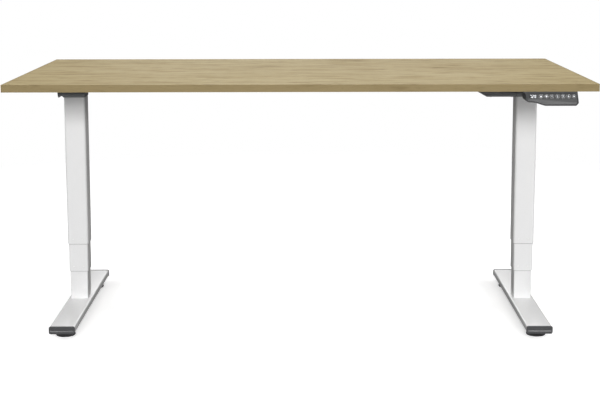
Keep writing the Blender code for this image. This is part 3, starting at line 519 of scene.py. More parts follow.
def turned(name, profile, place=(0.0, 0.0, 0.0), steps=48):
    """A closed round shape from (radius, height) points that run from axis to axis."""
    form = bmesh.new()
    points = [form.verts.new((radius, 0.0, height)) for radius, height in profile]
    edges = [form.edges.new(pair) for pair in zip(points, points[1:])]
    bmesh.ops.spin(form, geom=points + edges, axis=(0, 0, 1), cent=(0, 0, 0), steps=steps,
                   angle=2 * math.pi, use_duplicate=False)
    bmesh.ops.remove_doubles(form, verts=form.verts, dist=JOINED)
    bmesh.ops.transform(form, matrix=Matrix.Translation(place), verts=form.verts)
    return mesh_object(name, form)


def loft(name, loops):
    """A closed body through outlines of equal length, each given as (points in XZ, y)."""
    form = bmesh.new()
    rings = [[form.verts.new((x, y, z)) for x, z in points] for points, y in loops]
    for near, far in zip(rings, rings[1:]):
        for i in range(len(near)):
            form.faces.new((near[i - 1], near[i], far[i], far[i - 1]))
    form.faces.new(rings[0])
    form.faces.new(rings[-1])
    return mesh_object(name, form)


def applied(thing):
    """Turns a piece's modifiers into its mesh."""
    mesh = evaluated_mesh(thing)
    thing.modifiers.clear()
    thing.data = mesh
    return thing


def carve(thing, *cutters, operation="DIFFERENCE"):
    for cutter in cutters:
        change = thing.modifiers.new(cutter.name, "BOOLEAN")
        change.operation = operation
        change.object = cutter
        change.solver = "EXACT"
    applied(thing)
    for cutter in cutters:
        bpy.data.objects.remove(cutter)
    return thing


def carve_through(thing, outline, low, high, plane):
    """Cuts an outline along a piece, out past both of its ends."""
    return carve(thing, prism("cutter", [outline], low - CUT_OVER, high + CUT_OVER, plane))


def gather(name, things):
    """Several separate bodies as one piece."""
    form = bmesh.new()
    for thing in things:
        form.from_mesh(thing.data)
        bpy.data.objects.remove(thing)
    return placed_mesh(name, form)


def set_down(thing, place, turn):
    """Turns a body that stands on the origin and moves it to its seat."""
    thing.data.transform(Matrix.Translation(place) @ turn)
    return thing


def soften(thing, width, segments=2):
    """Small round edges with flat faces kept flat."""
    thing.data.shade_smooth()
    bevel = thing.modifiers.new("edges", "BEVEL")
    bevel.width = width
    bevel.segments = segments
    bevel.limit_method = "ANGLE"
    bevel.angle_limit = SHARP_EDGE
    bevel.harden_normals = True
    bevel.use_clamp_overlap = True
    return applied(thing)


def smooth(thing, angle=35):
    thing.data.shade_smooth()
    thing.data.set_sharp_from_angle(angle=math.radians(angle))
    return thing


def fit_out(thing, name, finish, body, *nodes):
    """Names a piece, gives it its finish, and lets it ride and stand for its nodes."""
    thing.name = name
    thing.data.name = name
    thing.data.materials.clear()
    thing.data.materials.append(finish)
    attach(thing, body)
    if nodes:
        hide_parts(*nodes)
    return thing


def fit_fasteners(heads, name, body=LIFTED):
    fit_out(gather(name, heads), name, ZINC_STEEL, body)


def paint_shade_above(thing, finish, height):
    """Gives the faces of a piece above a height a second, darker finish: painted shade on its upper band."""
    thing.data.materials.append(finish)
    for face in thing.data.polygons:
        if face.center.z > height:
            face.material_index = 1


def middle_of(node):
    low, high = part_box(node)
    return (low + high) / 2


# ------ fasteners

DOWNWARDS = Matrix.Rotation(math.pi, 4, "X")
TO_LEFT = Matrix.Rotation(-math.pi / 2, 4, "Y")
TO_RIGHT = Matrix.Rotation(math.pi / 2, 4, "Y")
TO_FRONT = Matrix.Rotation(math.pi / 2, 4, "X")
TO_REAR = Matrix.Rotation(-math.pi / 2, 4, "X")
PAN_PROFILE = ((0.0, 1.0), (0.35, 0.97), (0.7, 0.82), (0.92, 0.55), (1.0, 0.25), (0.96, 0.0), (0.0, 0.0))
RECESS_ARM, RECESS_SLIT, RECESS_DEPTH = 0.52, 0.12, 0.45
WASHER_THICK = 0.0012
HEAD_EDGE = 0.0004


def pan_head(place, turn=DOWNWARDS, radius=0.0042, height=0.0024):
    """A pan-head screw with a cross recess, on its seat."""
    head = turned("head", [(radius * out, height * up) for out, up in PAN_PROFILE], steps=24)
    arm, slit, floor = radius * RECESS_ARM, radius * RECESS_SLIT, height * (1 - RECESS_DEPTH)
    cross = [brick("slot", (-x, -y, floor), (x, y, height + CUT_OVER)) for x, y in ((arm, slit), (slit, arm))]
    return set_down(smooth(carve(head, *cross)), place, turn)


def hex_head(place, turn, across, height, washer):
    """A hexagon bolt head on its washer."""
    chamfer = 0.97
    disc = turned("washer", ((0.0, WASHER_THICK), (washer * chamfer, WASHER_THICK), (washer, 0.0009),
                             (washer, 0.0002), (washer * chamfer, 0.0), (0.0, 0.0)), steps=28)
    outline = ring_outline(across / math.sqrt(3), count=6)
    hexagon = soften(prism("hexagon", [outline], WASHER_THICK, WASHER_THICK + height), HEAD_EDGE)
    return set_down(gather("bolt", [smooth(disc), hexagon]), place, turn)


# ------ tabletop

def make_tabletop():
    low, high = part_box("tabletop_board")
    board = soften(brick("board", low, high), 0.0003)
    fit_out(board, "oak_board_panel", OAK, LIFTED, "tabletop_board")
    low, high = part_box("edge_band")
    outside = box_outline(low, high, 0.003)
    inside = box_outline((low.x + EDGE_BAND, low.y + EDGE_BAND), (high.x - EDGE_BAND, high.y - EDGE_BAND))
    band = soften(prism("band", (outside, inside), low.z, high.z), TOP_EDGE, 3)
    fit_out(band, "oak_edge_band", OAK_EDGE_SHADED, LIFTED, "edge_band")


# ------ columns

STUD_PROFILE = ((0.0, 0.0013), (STUD_RADIUS * 0.5, 0.00122), (STUD_RADIUS * 0.86, 0.0009),
                (STUD_RADIUS, 0.0005), (STUD_RADIUS, 0.0), (0.0, 0.0))
STUD_SUNK = 0.0009
WIPER_RISE = 0.0015
HOUSING_WALL = 0.003
SEAM_LOW, SEAM_HIGH, SEAM_DEPTH = 0.0078, 0.0106, 0.0012


def tube_outlines(stage, hand):
    return wall_outlines(*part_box(f"{stage}_tube_{hand}"), TUBE_CORNERS[stage], TUBE_WALL)


def make_tube(stage, hand, body):
    node = f"{stage}_tube_{hand}"
    low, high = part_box(node)
    tube = prism(node, tube_outlines(stage, hand), low.z, high.z)
    studded = stage != "inner"
    if studded:
        middle_x = (low.x + high.x) / 2
        holes = []
        for across in (-STUD_ACROSS, STUD_ACROSS):
            loop = ring_outline(STUD_HOLE, (middle_x + across, low.z + STUD_RISE), 20)
            for face in (low.y, high.y):
                near, far = face - TUBE_WALL - CUT_OVER, face + TUBE_WALL + CUT_OVER
                holes.append(prism("hole", [loop], near, far, "XZ"))
        carve(tube, *holes)
    soften(tube, TUBE_END_EDGE)
    fit_out(tube, f"{stage}_column_tube_{hand}", WHITE_COAT, body, node)
    if studded:
        make_snap_studs(stage, hand, low, high, body)


def make_snap_studs(stage, hand, low, high, body):
    """Domed ends of the plastic studs that hold a glide sleeve in its tube."""
    middle_x = (low.x + high.x) / 2
    domes = []
    for across in (-STUD_ACROSS, STUD_ACROSS):
        for seat, turn in ((low.y + STUD_SUNK, TO_FRONT), (high.y - STUD_SUNK, TO_REAR)):
            spot = (middle_x + across, seat, low.z + STUD_RISE)
            domes.append(smooth(set_down(turned("dome", STUD_PROFILE, steps=20), spot, turn)))
    fit_out(gather("domes", domes), f"{stage}_snap_studs_{hand}", WHITE_MOULDED, body)


def make_wiper(stage, inner_stage, hand, body):
    """Wiper lip that closes the gap below a tube; its grey paints the gap's shade as a fine dark line around
    the next one.
    """
    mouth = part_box(f"{stage}_tube_{hand}")[0].z
    outside = tube_outlines(stage, hand)[1]
    low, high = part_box(f"{inner_stage}_tube_{hand}")
    inside = box_outline((low.x - WIPER_PLAY, low.y - WIPER_PLAY), (high.x + WIPER_PLAY, high.y + WIPER_PLAY),
                         TUBE_CORNERS[inner_stage], 8)
    wiper = soften(prism("wiper", (outside, inside), mouth - WIPER_DROP, mouth + WIPER_RISE), 0.0002)
    fit_out(wiper, f"{stage}_wiper_{hand}", WIPER_GAP_SHADE, body)


def make_column(hand):
    middle_body = f"middle_stage_{hand}"
    make_wiper("outer", "middle", hand, LIFTED)
    make_wiper("middle", "inner", hand, middle_body)
    make_tube("outer", hand, LIFTED)
    make_tube("middle", hand, middle_body)
    make_tube("inner", hand, "base")
    make_gearbox_housing(hand)
    make_side_arm(hand)


def set_back_upper_part(housing, low, high):
    """Steps the front and rear faces back above a sloped seam."""
    top = high.z + CUT_OVER
    for face, way in ((low.y, 1), (high.y, -1)):
        clear, stepped = face - way * CUT_OVER, face + way * SEAM_DEPTH
        band = [(clear, low.z + SEAM_LOW), (face, low.z + SEAM_LOW), (stepped, low.z + SEAM_HIGH),
                (stepped, top), (clear, top)]
        carve_through(housing, band, low.x, high.x, "YZ")


def make_gearbox_housing(hand):
    """Cast housing: slanted outer side with a small hooked lip, and a seam under its upper part."""
    side = SIDES[hand]
    node = f"gearbox_housing_{hand}"
    low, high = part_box(node)
    tube_low, tube_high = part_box(f"outer_tube_{hand}")
    column = (tube_low.x + tube_high.x) / 2
    half_tube = (tube_high.x - tube_low.x) / 2
    reach = max(abs(low.x - column), abs(high.x - column))
    slant, lip_width, lip_drop = 0.0075, 0.006, 0.0045
    lip_outer = reach - slant
    lip_inner = lip_outer - lip_width
    lip_top = low.z + lip_drop
    corners = (
        (-half_tube, low.z, 0.0015),
        (half_tube - GAP, low.z, 0.0010),
        (half_tube + lip_drop, lip_top, 0.0025),
        (lip_inner, lip_top, 0.0005),
        (lip_inner + lip_drop / 2, low.z, 0.0009),
        (lip_outer, low.z, 0.0012),
        (reach, high.z, 0.0008),
        (-half_tube, high.z, 0.0008),
    )
    outline = [(column + side * x, z) for x, z in rounded(corners, 4)]
    housing = prism(node, [outline], low.y, high.y, "XZ")
    room_inner, room_outer, floor = -half_tube + HOUSING_WALL, half_tube - 0.0005, low.z + 0.0035
    room = box_outline((room_inner, floor), (room_outer, high.z + CUT_OVER))
    room = [(column + side * x, z) for x, z in room]
    carve(housing, prism("room", [room], low.y + HOUSING_WALL, high.y - HOUSING_WALL, "XZ"))
    set_back_upper_part(housing, low, high)
    soften(housing, 0.0006)
    fit_out(housing, f"gearbox_casting_{hand}", CAST_PAINTED_LIGHT, LIFTED, node)
    # The upper band takes the darker copy of the casting: painted shade.
    paint_shade_above(housing, CAST_PAINTED_SHADE, low.z + SEAM_HIGH)


def make_side_arm(hand):
    """Folded channel under the top, with wood screws through its web and bolts in its inner flange."""
    side = SIDES[hand]
    node = f"side_arm_{hand}"
    low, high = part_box(node)
    outer = rounded(((low.x, low.z, 0.0), (high.x, low.z, 0.0), (high.x, high.z, SHEET_BEND),
                     (low.x, high.z, SHEET_BEND)), 6)
    arm = prism(node, [outer], low.y, high.y, "XZ")
    seat = high.z - SHEET_WALL
    inner_low, inner_high = low.x + SHEET_WALL, high.x - SHEET_WALL
    open_below = low.z - 0.05
    hollow = box_outline((inner_low, open_below), (inner_high, seat), SHEET_BEND - SHEET_WALL)
    carve_through(arm, hollow, low.y, high.y, "XZ")
    tip, straight, below = high.z + GAP - 0.012, 0.045, low.z - 0.01
    for way, end in ((-1, low.y), (1, high.y)):
        past = end + way * CUT_OVER
        wedge = [(way * straight, low.z), (end, tip), (past, tip), (past, below), (way * straight, below)]
        carve_through(arm, wedge, low.x, high.x, "YZ")
    inner_face = low.x if side > 0 else high.x
    window, window_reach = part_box(f"gearbox_housing_{hand}")[1].y + GAP, 0.004
    carve(arm, brick("window", (inner_face - window_reach, -window, low.z - CUT_OVER),
                     (inner_face + window_reach, window, seat)))
    soften(arm, 0.0005)
    fit_out(arm, f"folded_side_arm_{hand}", DARK_COAT, LIFTED, node)

    middle_x = (low.x + high.x) / 2
    screws = [pan_head((middle_x + across, along, seat))
              for along in (-0.245, -0.130, 0.130, 0.245) for across in (-0.018, 0.018)]
    fit_fasteners(screws, f"arm_wood_screws_{hand}")
    inner_side, turn = (inner_low, TO_RIGHT) if side > 0 else (inner_high, TO_LEFT)
    bolts = [hex_head((inner_side, along, high.z - 0.018), turn, across=0.008, height=0.0035, washer=0.007)
             for along in (-0.050, 0.050)]
    fit_fasteners(bolts, f"crossbar_bolts_{hand}")


# ------ crossbars and drive

def make_crossbar(place):
    """Folded channel between the arms, with cable slots in its web and a row of fixing holes."""
    way = PLACES[place]
    node = f"crossbar_{place}"
    low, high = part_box(node)
    near, far = (low.y, high.y) if way > 0 else (high.y, low.y)
    corners = [(near, low.z, BAR_BEND), (far, low.z, 0.0), (far, high.z, 0.0), (near, high.z, BAR_BEND)]
    if way < 0:
        corners = [corners[i] for i in (1, 0, 3, 2)]
    bar = prism(node, [rounded(corners)], low.x, high.x, "YZ")
    span = sorted((near + way * BAR_WALL, far + way * 0.01))
    hollow = box_outline((span[0], low.z + BAR_WALL), (span[1], high.z - BAR_WALL), BAR_BEND - BAR_WALL)
    carve_through(bar, hollow, low.x, high.x, "YZ")
    middle_y, middle_z = (near + far) / 2, (low.z + high.z) / 2
    openings = []
    for x in (-0.48, -0.24, 0.0, 0.24):
        loop = centred_outline(x, middle_z, 0.030, 0.008, 0.0079, 8)
        openings.append(prism("slot", [loop], near - 0.01, near + 0.01, "XZ"))
    for x in (-0.56, -0.36, -0.12, 0.12, 0.36, 0.56):
        loop = ring_outline(0.0035, (x, middle_y), 16)
        openings.append(prism("hole", [loop], low.z - CUT_OVER, low.z + BAR_WALL + CUT_OVER))
    carve(bar, *openings)
    soften(bar, 0.0004)
    fit_out(bar, f"folded_crossbar_{place}", DARK_COAT, LIFTED, node)
    screws = [pan_head((x, middle_y, high.z - BAR_WALL)) for x in (-0.46, -0.15, 0.15, 0.46)]
    fit_fasteners(screws, f"crossbar_wood_screws_{place}")


def make_motor_housing():
    """Sheet cover with a long sloped end, a seam under its upper part and screws in its floor."""
    low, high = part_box("motor_housing")
    slope, wall, slope_wall = 0.096, 0.002, 0.006
    top, floor = high.z + CUT_OVER, low.z + wall
    outline = rounded(((low.x, high.z, 0.0008), (low.x + slope, low.z, 0.006), (high.x, low.z, 0.0015),
                       (high.x, high.z, 0.0008)), 5)
    housing = prism("motor_housing_shell", [outline], low.y, high.y, "XZ")
    set_back_upper_part(housing, low, high)
    room = ((low.x + slope_wall, top), (low.x + slope, floor), (high.x - wall, floor), (high.x - wall, top))
    carve(housing, prism("room", [room], low.y + wall, high.y - wall, "XZ"))
    soften(housing, 0.0008, 3)
    fit_out(housing, "motor_cover", CAST_PAINTED_LIGHT, LIFTED, "motor_housing")
    # The upper band takes the darker copy of the casting: painted shade.
    paint_shade_above(housing, CAST_PAINTED_SHADE, low.z + SEAM_HIGH)
    screws = [pan_head((x, y, low.z), DOWNWARDS, 0.0036, 0.0018)
              for x in (high.x - 0.012, high.x - 0.074) for y in (low.y + 0.010, high.y - 0.010)]
    fit_fasteners(screws, "motor_cover_screws")


# ------ control box

SOCKETS = 4
SOCKET_PITCH = 0.026
PINS = 7
PIN_PROFILE = ((0.0, 0.004), (0.0006, 0.0037), (0.0006, 0.0), (0.0, 0.0))
INLET = ((-0.014, -0.009), (0.014, -0.009), (0.014, 0.004), (0.008, 0.009), (-0.008, 0.009), (-0.014, 0.004))
BLADES = ((-0.007, -0.001), (0.0, 0.003), (0.007, -0.001))
VENTS = 9
VENT_PITCH = 0.009


def make_control_box():
    """Moulded tub with a row of sockets, a mains inlet and vents, on a cover with screwed ears."""
    low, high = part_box("control_box")
    middle = (low + high) / 2
    socket_places = [middle.y + (i - (SOCKETS - 1) / 2) * SOCKET_PITCH for i in range(SOCKETS)]
    cuts = []
    for y in socket_places:
        loop = centred_outline(y, middle.z, 0.008, 0.005, 0.0015)
        cuts.append(prism("socket", [loop], high.x - 0.010, high.x + CUT_OVER, "YZ"))
    loop = rounded([(middle.y + y, middle.z + z, 0.001) for y, z in INLET], 3)
    cuts.append(prism("inlet", [loop], low.x - CUT_OVER, low.x + 0.014, "YZ"))
    for row in range(VENTS):
        x = middle.x + (row - VENTS // 2) * VENT_PITCH
        loop = centred_outline(x, middle.y, 0.0014, 0.030, 0.0013)
        cuts.append(prism("vent", [loop], low.z - CUT_OVER, low.z + 0.0012))
    tub = soften(carve(brick("tub", low, high), *cuts), 0.0004)
    fit_out(tub, "control_box_tub", DARK_MOULDED, LIFTED, "control_box")

    contacts = []
    for y in socket_places:
        for count in range(PINS):
            turn = math.pi * (0.1 + 0.8 * count / (PINS - 1))
            spot = (high.x - 0.0098, y + 0.0055 * math.cos(turn), middle.z - 0.002 + 0.0045 * math.sin(turn))
            contacts.append(smooth(set_down(turned("pin", PIN_PROFILE, steps=10), spot, TO_RIGHT)))
    for across, rise in BLADES:
        y, z = middle.y + across, middle.z + rise
        blade = brick("blade", (low.x + 0.004, y - 0.001, z - 0.002), (low.x + 0.0138, y + 0.001, z + 0.002))
        contacts.append(soften(blade, 0.0003))
    fit_fasteners(contacts, "control_box_contacts")

    cover_low, cover_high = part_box("control_box_lid")
    seats = [(x, middle.y + across) for x in ((cover_low.x + low.x) / 2, (cover_high.x + high.x) / 2)
             for across in (-0.033, 0.033)]
    holes = [ring_outline(0.0025, seat, 20) for seat in seats]
    ears = box_outline(cover_low, cover_high, 0.008)
    lid = soften(prism("lid", (ears, *holes), cover_low.z, cover_high.z), 0.0005)
    fit_out(lid, "control_box_cover", DARK_MOULDED, LIFTED, "control_box_lid")
    fit_fasteners([pan_head((x, y, cover_low.z)) for x, y in seats], "control_box_screws")


# ------ handset

SHOULDER = ((0.0000, 0.0000, 0.0000), (0.0083, -0.0050, 0.0020))
FACE_START = ((0.0080, 0.0000, 0.0000),)
HANDSET_OUTLINE = (
    (0.0094, -0.0223, 0.0050),
    (0.0134, -0.0274, 0.0060),
    (0.0359, -0.0304, 0.0200),
    (0.0605, -0.0381, 0.0200),
    (0.1445, -0.0381, 0.0060),
    (0.1507, -0.0304, 0.0050),
    (0.1464, 0.0000, 0.0000),
)
HANDSET_RIM = 0.0037
DISH_STEPS = ((0.0000, -0.0005), (0.0000, 0.0), (0.0022, 0.0008))
KEY_PLAY = 0.0004
DIGITS = "729"
SEGMENTS = {"7": "abc", "2": "abged", "9": "abcdfg"}
DIGIT_WIDE, DIGIT_TALL, DIGIT_BAR = 0.0049, 0.0080, 0.00115
DIGIT_PITCH, DIGIT_SLANT, BAR_TIP = 0.0061, 0.09, 0.45
MARK_SIZE, MARK_SHRINK, MARK_PEN, PRINT_RISE = 0.0025, 0.85, 0.00038, 0.00008
ARROW = ((-1.25, -0.85), (1.25, -0.85), (0.0, 1.15))
STROKES = {
    "one": [((-0.35, 0.45), (0.1, 1.0), (0.1, -1.0))],
    "two": [((-0.6, 0.65), (-0.1, 1.0), (0.55, 0.55), (-0.6, -1.0), (0.6, -1.0))],
    "three": [((-0.55, 1.0), (0.5, 1.0), (0.0, 0.2), (0.55, -0.4), (0.1, -1.0), (-0.55, -0.8))],
    "four": [((0.25, 1.0), (-0.65, -0.4), (0.65, -0.4)), ((0.3, 0.3), (0.3, -1.0))],
    "memory": [((-0.75, -0.9), (-0.75, 0.9), (0.0, -0.1), (0.75, 0.9), (0.75, -0.9))],
}


def make_handset():
    """Thin shell with a sunk face panel, smoked display window, digits and seven keys."""
    low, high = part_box("handset_casing")
    face = (*FACE_START, *HANDSET_OUTLINE)

    def placed(corners):
        return [(low.x + x, high.z + z) for x, z in rounded(corners, 8)]

    casing = prism("casing", [placed((*SHOULDER, *HANDSET_OUTLINE))], low.y, high.y, "XZ")
    room = prism("room", [placed(inset(face, HANDSET_RIM))], low.y - CUT_OVER, high.y - HANDSET_RIM, "XZ")
    soften(carve(casing, room), 0.0016, 4)
    fit_out(casing, "handset_housing", SHELL_PAINTED_SHADE, LIFTED, "handset_casing")
    screws = [pan_head((x, low.y + 0.045, low.z + 0.0001), DOWNWARDS, 0.0030, 0.0014)
              for x in (low.x + 0.075, high.x - 0.020)]
    fit_fasteners(screws, "handset_screws")

    panel_low, panel_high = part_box("handset_panel")
    display_low, display_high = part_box("handset_display")
    window = box_outline((display_low.x - KEY_PLAY, display_low.z - KEY_PLAY),
                         (display_high.x + KEY_PLAY, display_high.z + KEY_PLAY), 0.0008, 4)
    holes = [ring_outline((b.x - a.x) / 2 + KEY_PLAY, ((a.x + b.x) / 2, (a.z + b.z) / 2), 40)
             for a, b in (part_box(f"key_{key}") for key in KEYS)]
    panel_edge = HANDSET_RIM + GAP
    outline = placed(inset(face, panel_edge))
    panel = prism("panel", (outline, window, *holes), panel_low.y, panel_high.y, "XZ")
    loops = [(placed(inset(face, panel_edge + 0.0003 + inwards)), panel_low.y + back)
             for inwards, back in DISH_STEPS]
    soften(carve(panel, loft("dish", loops)), 0.00020)
    fit_out(panel, "handset_face_panel", PANEL_FILM, LIFTED, "handset_panel")

    glass = soften(brick("glass", display_low, display_high), 0.0003)
    fit_out(glass, "display_window", SMOKED, LIFTED, "handset_display")
    make_digits(display_low, display_high)
    for key in KEYS:
        make_key(key)


def make_digits(low, high):
    """Three seven-segment figures on the display, slightly slanted."""
    right, top, half = DIGIT_WIDE / 2, DIGIT_TALL / 2, DIGIT_BAR / 2
    left, bottom, bar = -right, -top, DIGIT_BAR
    spots = {
        "a": (left + half, top - bar, right - half, top), "g": (left + half, -half, right - half, half),
        "d": (left + half, bottom, right - half, bottom + bar),
        "f": (left, half, left + bar, top - half), "b": (right - bar, half, right, top - half),
        "e": (left, bottom + half, left + bar, -half), "c": (right - bar, bottom + half, right, -half),
    }
    middle = (low + high) / 2
    bars = []
    for i, digit in enumerate(DIGITS):
        centre_x = middle.x + (i - 1) * DIGIT_PITCH
        for segment in SEGMENTS[digit]:
            x0, z0, x1, z1 = spots[segment]
            tip = min(x1 - x0, z1 - z0) * BAR_TIP
            loop = ((x0 + tip, z0), (x1 - tip, z0), (x1, z0 + tip), (x1, z1 - tip), (x1 - tip, z1),
                    (x0 + tip, z1), (x0, z1 - tip), (x0, z0 + tip))
            slanted = [(centre_x + x + DIGIT_SLANT * z, middle.z + z) for x, z in loop]
            bars.append(prism("bar", [slanted], low.y - 0.00012, low.y + 0.0002, "XZ"))
    fit_out(gather("bars", bars), "display_digits", LIT_DIGITS, LIFTED)


def glyph_loops(key):
    """The mark on a key as closed outlines about its centre: arrows, strokes of a figure, or an M."""
    if key in ("up", "down"):
        flip, order = (1, 1) if key == "up" else (-1, -1)
        return [[(MARK_SIZE * x, MARK_SIZE * flip * z) for x, z in ARROW[::order]]]
    loops = []
    for line in STROKES[key]:
        for start, end in zip(line, line[1:]):
            a, b = (Vector(point) * MARK_SIZE * MARK_SHRINK for point in (start, end))
            along = (b - a).normalized() * MARK_PEN
            across = Vector((-along.y, along.x))
            loops.append([tuple(p) for p in (a - along - across, b + along - across, b + along + across,
                                             a - along + across)])
    return loops


def make_key(key):
    """A push key: dished disc with a printed ring and mark, which ride with it."""
    node = f"key_{key}"
    low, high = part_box(node)
    centre = (low + high) / 2
    radius, deep = (high.x - low.x) / 2, high.y - low.y
    profile = ((0.0, deep), (radius * 0.55, deep), (radius * 0.86, deep - 0.00005),
               (radius * 0.95, deep - 0.00020), (radius, deep - 0.0006), (radius, 0.0), (0.0, 0.0))
    cap = set_down(turned("cap", profile), (centre.x, high.y, centre.z), TO_FRONT)
    fit_out(smooth(cap), f"key_cap_{key}", PANEL_FILM, node, node)

    def printed(name, loops):
        return prism(name, loops, low.y - PRINT_RISE, low.y + 0.0004, "XZ")

    loops = [[(centre.x + x, centre.z + z) for x, z in loop] for loop in glyph_loops(key)]
    marks = [printed("mark", [loop]) for loop in loops]
    fit_out(gather("marks", marks), f"key_mark_{key}", GLOWING_KEY_PRINT, node)
    circles = [ring_outline(radius * share, centre.xz, 48) for share in (0.89, 0.82)]
    fit_out(printed("ring", circles), f"key_ring_{key}", RING_PRINT, node)


# ------ feet

CAP_FLANGE, CAP_PROUD, PLUG_LAP = 0.004, 0.001, 0.0008
PANEL_MARGIN, PANEL_TOP, PANEL_SUNK = 0.0036, 0.0016, 0.0009
SILL_HEIGHT, SILL_RISE, SILL_BAND = 0.0066, 0.0022, 0.0030
PAD_TOP, NUT_TOP, NUT_ACROSS = 0.008, 0.0100, 0.0075
PAD_PROFILE = ((0.80, 0.0076), (0.90, 0.0068), (0.97, 0.0052), (1.0, 0.0038), (1.0, 0.0020), (0.985, 0.0018),
               (0.985, 0.0014), (1.0, 0.0012), (0.985, 0.0004), (0.96, 0.0), (0.0, 0.0))
THREAD_RADIUS, THREAD_PITCH, THREAD_ROOT = 0.004, 0.00125, 0.84


def make_foot(hand):
    """Rectangular tube with its caps and glides, and the bolts that hold the column."""
    node = f"foot_{hand}"
    low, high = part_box(node)
    foot = prism(node, wall_outlines(low.xz, high.xz, FOOT_CORNER, FOOT_WALL), low.y, high.y, "XZ")
    holes = []
    for place in PLACES:
        loop = ring_outline(0.0044, middle_of(f"levelling_glide_{place}_{hand}"), 24)
        holes.append(prism("hole", [loop], low.z - CUT_OVER, low.z + FOOT_WALL + CUT_OVER))
    soften(carve(foot, *holes), 0.0005)
    fit_out(foot, f"foot_tube_{hand}", WHITE_COAT, "base", node)
    middle_x = (low.x + high.x) / 2
    bolts = [hex_head((middle_x + x, y, low.z), DOWNWARDS, across=0.010, height=0.0042, washer=0.0085)
             for x in (-0.016, 0.016) for y in (-0.017, 0.017)]
    fit_fasteners(bolts, f"column_bolts_{hand}", "base")
    for place in PLACES:
        make_foot_cap(hand, place)
        make_glide(hand, place)


def make_foot_cap(hand, place):
    """End cap: a rounded flange with a shallow sunk panel whose sill is sloped, and its plug in the tube."""
    way = PLACES[place]
    node = f"foot_cap_{place}_{hand}"
    low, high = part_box(node)
    outer_face, inner_end = (low.y, high.y) if way < 0 else (high.y, low.y)

    def slab(name, first, second, outline):
        return prism(name, [outline], *sorted((first, second)), "XZ")

    flange = box_outline(low.xz, high.xz, FOOT_CORNER + CAP_PROUD, 8)
    cap = slab("cap", outer_face, outer_face - way * CAP_FLANGE, flange)
    play = Vector((1.0, 0.0, 1.0)) * (CAP_PROUD + FOOT_WALL + GAP)
    plug = box_outline((low + play).xz, (high - play).xz, 0.0015, 4)
    carve(cap, slab("plug", outer_face - way * (CAP_FLANGE - PLUG_LAP), inner_end, plug), operation="UNION")
    soften(cap, 0.0010, 4)
    sill, top = low.z + SILL_HEIGHT, high.z - PANEL_TOP
    left, right = low.x + PANEL_MARGIN, high.x - PANEL_MARGIN
    panel = ((left, sill, 0.0020), (right, sill, 0.0020), (right, top, 0.0026), (left, top, 0.0026))

    def sill_moved(points, rise):
        return [(x, z + rise if z < sill + SILL_BAND else z) for x, z in points]

    front = rounded(panel, 5)
    back = sill_moved(rounded(inset(panel, 0.0002), 5), SILL_RISE)
    loops = [(sill_moved(front, -0.0006), outer_face + way * GAP), (front, outer_face),
             (back, outer_face - way * PANEL_SUNK)]
    smooth(carve(cap, loft("panel", loops)), 14)
    fit_out(cap, f"foot_end_cap_{place}_{hand}", CAP_PLASTIC, "base", node)


def make_glide(hand, place):
    """Levelling glide: soft round pad, steel nut and threaded stud."""
    node = f"levelling_glide_{place}_{hand}"
    low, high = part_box(node)
    centre = ((low.x + high.x) / 2, (low.y + high.y) / 2, 0.0)
    radius = (high.x - low.x) / 2
    profile = [(0.0, PAD_TOP), (0.010, PAD_TOP)] + [(radius * share, z) for share, z in PAD_PROFILE]
    pad = smooth(turned("pad", profile, centre, 64), 28)
    fit_out(pad, f"glide_pad_{place}_{hand}", BLACK_RUBBER, node, node)
    root, seat = THREAD_RADIUS * THREAD_ROOT, PAD_TOP - 0.001
    thread = [(0.0, high.z), (THREAD_RADIUS * 0.82, high.z)]
    for i in range(int((high.z - NUT_TOP) / THREAD_PITCH)):
        crest = high.z - (i + 0.5) * THREAD_PITCH
        thread += [(THREAD_RADIUS, crest), (root, crest - THREAD_PITCH / 2)]
    thread += [(root, seat), (0.0, seat)]
    stud = smooth(turned("stud", thread, centre, 24), 50)
    nut = prism("nut", [ring_outline(NUT_ACROSS, centre, 6)], PAD_TOP - 0.0002, NUT_TOP)
    fit_fasteners([stud, soften(nut, HEAD_EDGE)], f"glide_stud_{place}_{hand}", node)


# ------ carried-over nodes

def dress(node, finish):
    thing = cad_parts[node]
    thing.data.materials.clear()
    thing.data.materials.append(finish)


def finish_inner_nodes():
    """The gear train and the sleeves keep their solids and get their finishes."""
    kept = {
        GROUND_STEEL: ["spindle", "screw_tube", "spindle_bearing", "foot_plate"],
        GEAR_BRASS: ["spindle_gear", "shaft_gear"],
        WHITE_MOULDED: ["outer_glide_sleeve", "middle_glide_sleeve"],
        DARK_MOULDED: ["spindle_nut", "screw_tube_nut"],
    }
    for finish, nodes in kept.items():
        for node in nodes:
            for hand in HANDS:
                dress(f"{node}_{hand}", finish)
    dress("drive_shaft", SHAFT_STEEL)
    dress("gearmotor", CAST_PAINTED_LIGHT)


# ------ studio

SOFTBOXES = (
    # name, place, aim, size, power
    ("front_softbox", (0.3, -4.6, 1.82), (0.0, 0.0, 0.60), (3.8, 1.05), 166),
    ("top_softbox", (0.1, -0.3, 4.2), (0.1, -0.1, 0.0), (3.6, 2.4), 80),
    ("low_fill", (0.0, -4.6, 0.62), (0.0, 0.0, 0.62), (2.6, 0.6), 18),
    ("rear_softbox", (0.0, 4.6, 1.9), (0.0, 0.0, 0.6), (3.0, 1.2), 34),
    ("left_softbox", (-4.2, -0.6, 2.7), (0.0, 0.0, 0.6), (2.2, 1.2), 38),
    ("right_softbox", (4.2, -0.6, 2.7), (0.0, 0.0, 0.6), (2.2, 1.2), 38),
)
FLOOR_REACH = 60.0
CAMERA_PLACE = (0.0101, -3.8448, 1.0936)
CAMERA_PITCH, CAMERA_YAW, CAMERA_ROLL = math.radians(90.0 - 8.0), 0.0030, -0.0021


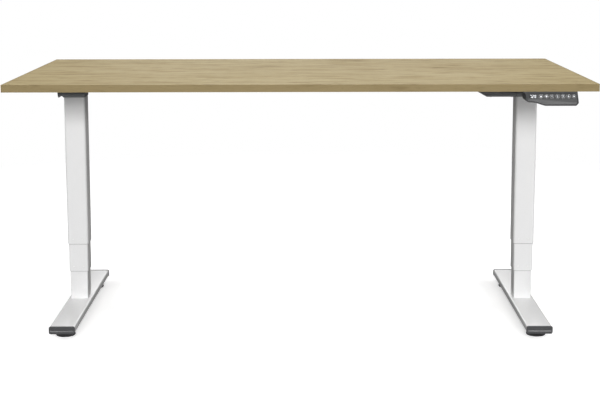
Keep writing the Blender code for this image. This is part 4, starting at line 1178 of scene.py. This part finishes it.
def make_floor():
    """Pale floor: lit and shadowed near the desk, plain white further out."""
    form = bmesh.new()
    bmesh.ops.create_grid(form, x_segments=1, y_segments=1, size=FLOOR_REACH)
    floor = mesh_object("studio_floor", form)
    finish, tree, shader = new_finish("studio_floor", "", Roughness=1.0, Specular_IOR_Level=0.0,
                                      Emission_Color=WHITE)
    seen = shader_node(tree, "LightPath").outputs["Is Camera Ray"]
    tree.links.new(blend_colours(tree, seen, FLOOR_BOUNCE, FLOOR_SEEN), shader.inputs["Base Color"])
    tree.links.new(times(tree, seen, FLOOR_LIFT), shader.inputs["Emission Strength"])
    reach = shader_node(tree, "VectorMath", {0: object_place(tree)}, operation="LENGTH").outputs["Value"]
    glow = shader_node(tree, "Emission", {"Color": WHITE, "Strength": 1.0}).outputs[0]
    far = times(tree, rescale(tree, reach, *FLOOR_FADE), seen)
    mixed = shader_node(tree, "MixShader", {0: far, 1: shader.outputs[0], 2: glow}).outputs[0]
    tree.links.new(mixed, tree.nodes["Material Output"].inputs["Surface"])
    floor.data.materials.append(finish)


def make_light(name, place, aim, size, power):
    lamp = bpy.data.lights.new(name, "AREA")
    lamp.shape = "RECTANGLE"
    lamp.size, lamp.size_y = size
    lamp.energy = power
    light = new_object(name, lamp)
    light.location = place
    light.rotation_euler = (Vector(aim) - Vector(place)).to_track_quat("-Z", "Y").to_euler()


def make_world():
    world = bpy.data.worlds.new("studio")
    bpy.context.scene.world = world
    world.use_nodes = True
    tree = world.node_tree
    back = tree.nodes["Background"].inputs
    path = shader_node(tree, "LightPath").outputs
    direct = maths(tree, "MAXIMUM", path["Is Camera Ray"], times(tree, path["Is Glossy Ray"], AMBIENT_GLOSS))
    tree.links.new(maths(tree, "MAXIMUM", direct, AMBIENT), back["Strength"])
    back["Color"].default_value = WHITE


def make_camera():
    lens = bpy.data.cameras.new("camera")
    lens.lens = 77.89
    lens.sensor_width = 36.0
    lens.shift_y = -0.1183
    lens.clip_end = 200.0
    camera = new_object("camera", lens)
    camera.location = CAMERA_PLACE
    turns = ((CAMERA_YAW, "Z"), (CAMERA_PITCH, "X"), (CAMERA_ROLL, "Z"))
    yaw, pitch, roll = (Matrix.Rotation(angle, 3, axis) for angle, axis in turns)
    camera.rotation_euler = (yaw @ pitch @ roll).to_euler()
    bpy.context.scene.camera = camera


def make_studio():
    make_floor()
    make_world()
    for softbox in SOFTBOXES:
        make_light(*softbox)
    bpy.context.scene.view_settings.view_transform = "Standard"


# ------ assembly

make_camera()
make_studio()
make_tabletop()
for hand in HANDS:
    make_column(hand)
    make_foot(hand)
for place in PLACES:
    make_crossbar(place)
make_motor_housing()
make_control_box()
make_handset()
finish_inner_nodes()
